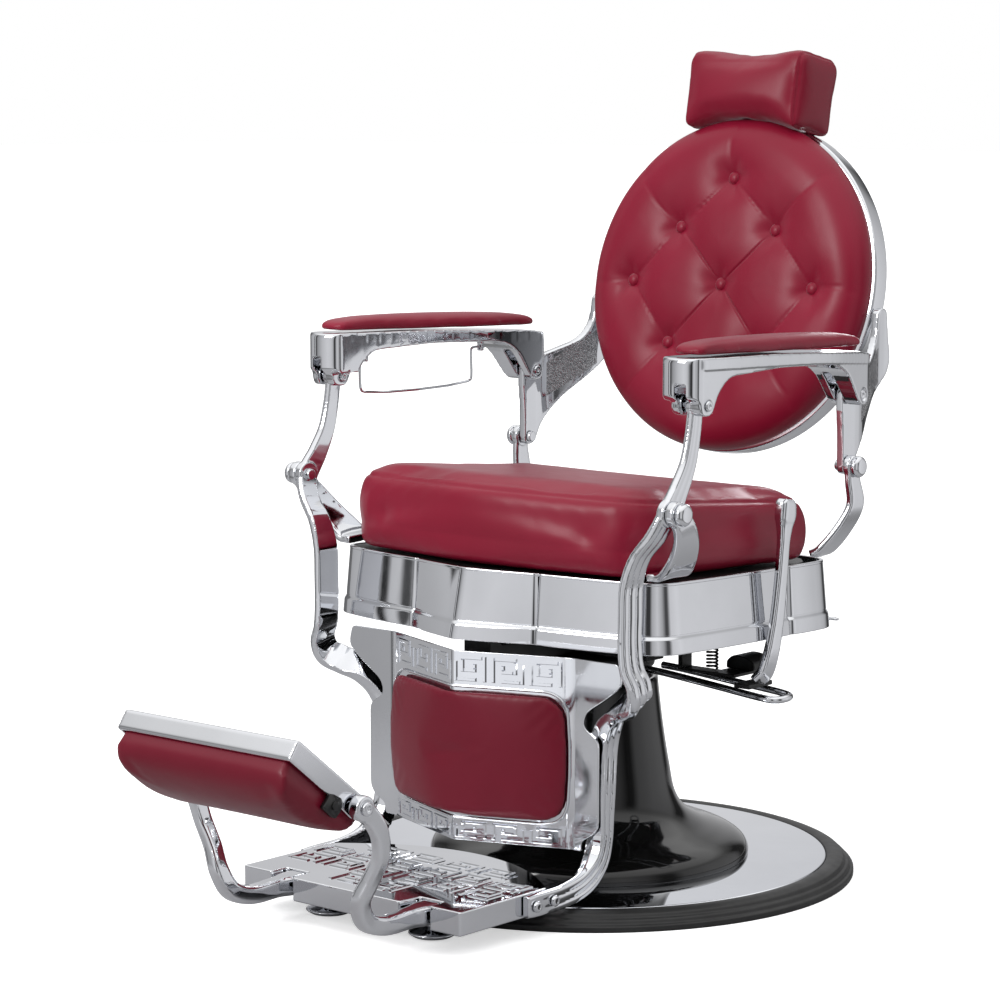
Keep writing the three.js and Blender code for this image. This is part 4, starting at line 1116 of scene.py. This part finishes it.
# ---- studio ----
def floor_material():
    """The camera sees a bright sweep; the chrome sees a greyer floor that fades out."""
    shade = Shader("studio_floor")
    shade.into(shade.ramp(shade.noise(0.5), [(0.3, grey(0.93)), (0.7, grey(0.95))]), "Base Color")
    shade.set(Roughness=0.9, Specular_IOR_Level=0.1)
    shade.bsdf.inputs["Emission Color"].default_value = (1, 1, 1, 1)
    path = shade.node("ShaderNodeLightPath")
    shade.into(shade.range((path, "Is Camera Ray"), 0.0, 0.55), "Emission Strength")
    distance = shade.node("ShaderNodeVectorMath", operation="LENGTH")
    shade.link(shade.place, "Object", distance, 0)
    near = shade.node("ShaderNodeBsdfDiffuse", {"Color": (0.42, 0.42, 0.43, 1)})
    far = shade.node("ShaderNodeBsdfTransparent")
    reflected = shade.node("ShaderNodeMixShader")
    shade.link(*shade.range((distance, "Value"), 0.0, 1.0, 0.9, 1.5), reflected, "Fac")
    shade.link(near, "BSDF", reflected, 1)
    shade.link(far, "BSDF", reflected, 2)
    mix = shade.node("ShaderNodeMixShader")
    shade.link(path, "Is Camera Ray", mix, "Fac")
    shade.link(reflected, "Shader", mix, 1)
    shade.link(shade.bsdf, "BSDF", mix, 2)
    shade.link(mix, "Shader", shade.output, "Surface")
    return shade.material


def place_object(name, data, location=(0, 0, 0), rotation=(0, 0, 0)):
    made = bpy.data.objects.new(name, data)
    made.location = location
    made.rotation_euler = rotation
    scene.collection.objects.link(made)
    return made


def build_studio():
    corners = [(x * FLOOR_REACH, y * FLOOR_REACH, 0) for x, y in ((-1, -1), (1, -1), (1, 1), (-1, 1))]
    floor_mesh = bpy.data.meshes.new("studio_floor")
    floor_mesh.from_pydata(corners, [], [[0, 1, 2, 3]])
    floor_mesh.materials.append(floor_material())
    place_object("studio_floor", floor_mesh)

    softbox_data = bpy.data.lights.new("softbox", "AREA")
    softbox_data.energy = 70
    softbox_data.size = 1.6
    aim = (SOFTBOX_AIM - SOFTBOX_AT).to_track_quat("-Z", "Y").to_euler()
    place_object("softbox", softbox_data, SOFTBOX_AT, aim)

    camera_data = bpy.data.cameras.new("camera")
    camera_data.lens = CAMERA_LENS
    camera_data.sensor_width = 36
    camera_data.clip_end = 100
    turn = (math.pi / 2 - CAMERA_DIP, 0, CAMERA_TURN)
    scene.camera = place_object("camera", camera_data, CAMERA_AT, turn)


# Brightness of the studio wall round the horizon, as (azimuth in degrees from +X, brightness).
# Dark stops are flags.
WALL = [
    (-180, 0.50), (-164, 0.58), (-156, 0.66), (-155.2, 0.03), (-153, 0.03), (-152.4, 0.66),
    (-149, 0.72), (-148.4, 0.08), (-144, 0.10), (-138, 0.40), (-118, 0.72), (-100, 0.88), (-86, 0.80),
    (-74, 0.62), (-62, 0.05), (-52, 0.05), (-44, 0.55), (-26, 0.80), (-8, 0.50), (4, 0.08), (12, 0.10),
    (22, 0.80), (46, 0.92), (66, 0.72), (80, 0.50), (90, 0.06), (100, 0.06), (108, 0.55), (130, 0.80),
    (148, 0.55), (158, 0.10), (168, 0.20),
]

# Brightness by height, from straight down (0) to straight up (1): a pale sweep below, a softbox overhead.
SKY = [(0.0, 0.22), (0.26, 0.22), (0.32, 0.0), (0.68, 0.0), (0.74, 0.35), (0.80, 1.15), (1.0, 1.55)]
# The heights over which the wall shows.
WALL_HEIGHT = [(0.26, 0.0), (0.34, 1.0), (0.68, 1.0), (0.78, 0.0)]


def build_world():
    world = bpy.data.worlds.new("studio")
    scene.world = world
    world.use_nodes = True
    tree = world.node_tree
    tree.nodes.clear()

    def math_node(operation, a, b):
        made = tree.nodes.new("ShaderNodeMath")
        made.operation = operation
        tree.links.new(a, made.inputs[0])
        if isinstance(b, float):
            made.inputs[1].default_value = b
        else:
            tree.links.new(b, made.inputs[1])
        return made.outputs[0]

    def blend(kind, a, b):
        made = tree.nodes.new("ShaderNodeMixRGB")
        made.blend_type = kind
        made.inputs[0].default_value = 1
        tree.links.new(a.outputs[0], made.inputs[1])
        tree.links.new(b.outputs[0], made.inputs[2])
        return made

    def background(colour, strength):
        made = tree.nodes.new("ShaderNodeBackground")
        made.inputs["Color"].default_value = colour
        made.inputs["Strength"].default_value = strength
        return made

    place = tree.nodes.new("ShaderNodeTexCoord")
    split = tree.nodes.new("ShaderNodeSeparateXYZ")
    tree.links.new(place.outputs["Generated"], split.inputs[0])
    azimuth = math_node("ARCTAN2", split.outputs["Y"], split.outputs["X"])
    share = math_node("ADD", math_node("DIVIDE", azimuth, 2 * math.pi), 0.5)
    height = math_node("ADD", math_node("MULTIPLY", split.outputs["Z"], 0.5), 0.5)
    wall = colour_ramp(tree, [((angle + 180) / 360, (v, v, v * 1.02)) for angle, v in WALL])
    tree.links.new(share, wall.inputs[0])
    sky = colour_ramp(tree, [(position, grey(value)) for position, value in SKY])
    tree.links.new(height, sky.inputs[0])
    on_wall = colour_ramp(tree, [(position, grey(value)) for position, value in WALL_HEIGHT])
    tree.links.new(height, on_wall.inputs[0])
    total = blend("ADD", blend("MULTIPLY", wall, on_wall), sky)

    studio = background((1, 1, 1, 1), 0.9)
    tree.links.new(total.outputs[0], studio.inputs["Color"])
    backdrop = background((1, 1, 1, 1), 1.0)
    path = tree.nodes.new("ShaderNodeLightPath")
    mix = tree.nodes.new("ShaderNodeMixShader")
    tree.links.new(path.outputs["Is Camera Ray"], mix.inputs[0])
    tree.links.new(studio.outputs[0], mix.inputs[1])
    tree.links.new(backdrop.outputs[0], mix.inputs[2])
    output = tree.nodes.new("ShaderNodeOutputWorld")
    tree.links.new(mix.outputs[0], output.inputs["Surface"])
    scene.view_settings.view_transform = "Standard"


build_base()
build_skirt()
build_brackets()
build_mechanism()
build_handle()
build_levers()
build_leg_rest()
build_flip_rest()
build_arms()
build_back()
build_upholstery()
build_studio()
build_world()
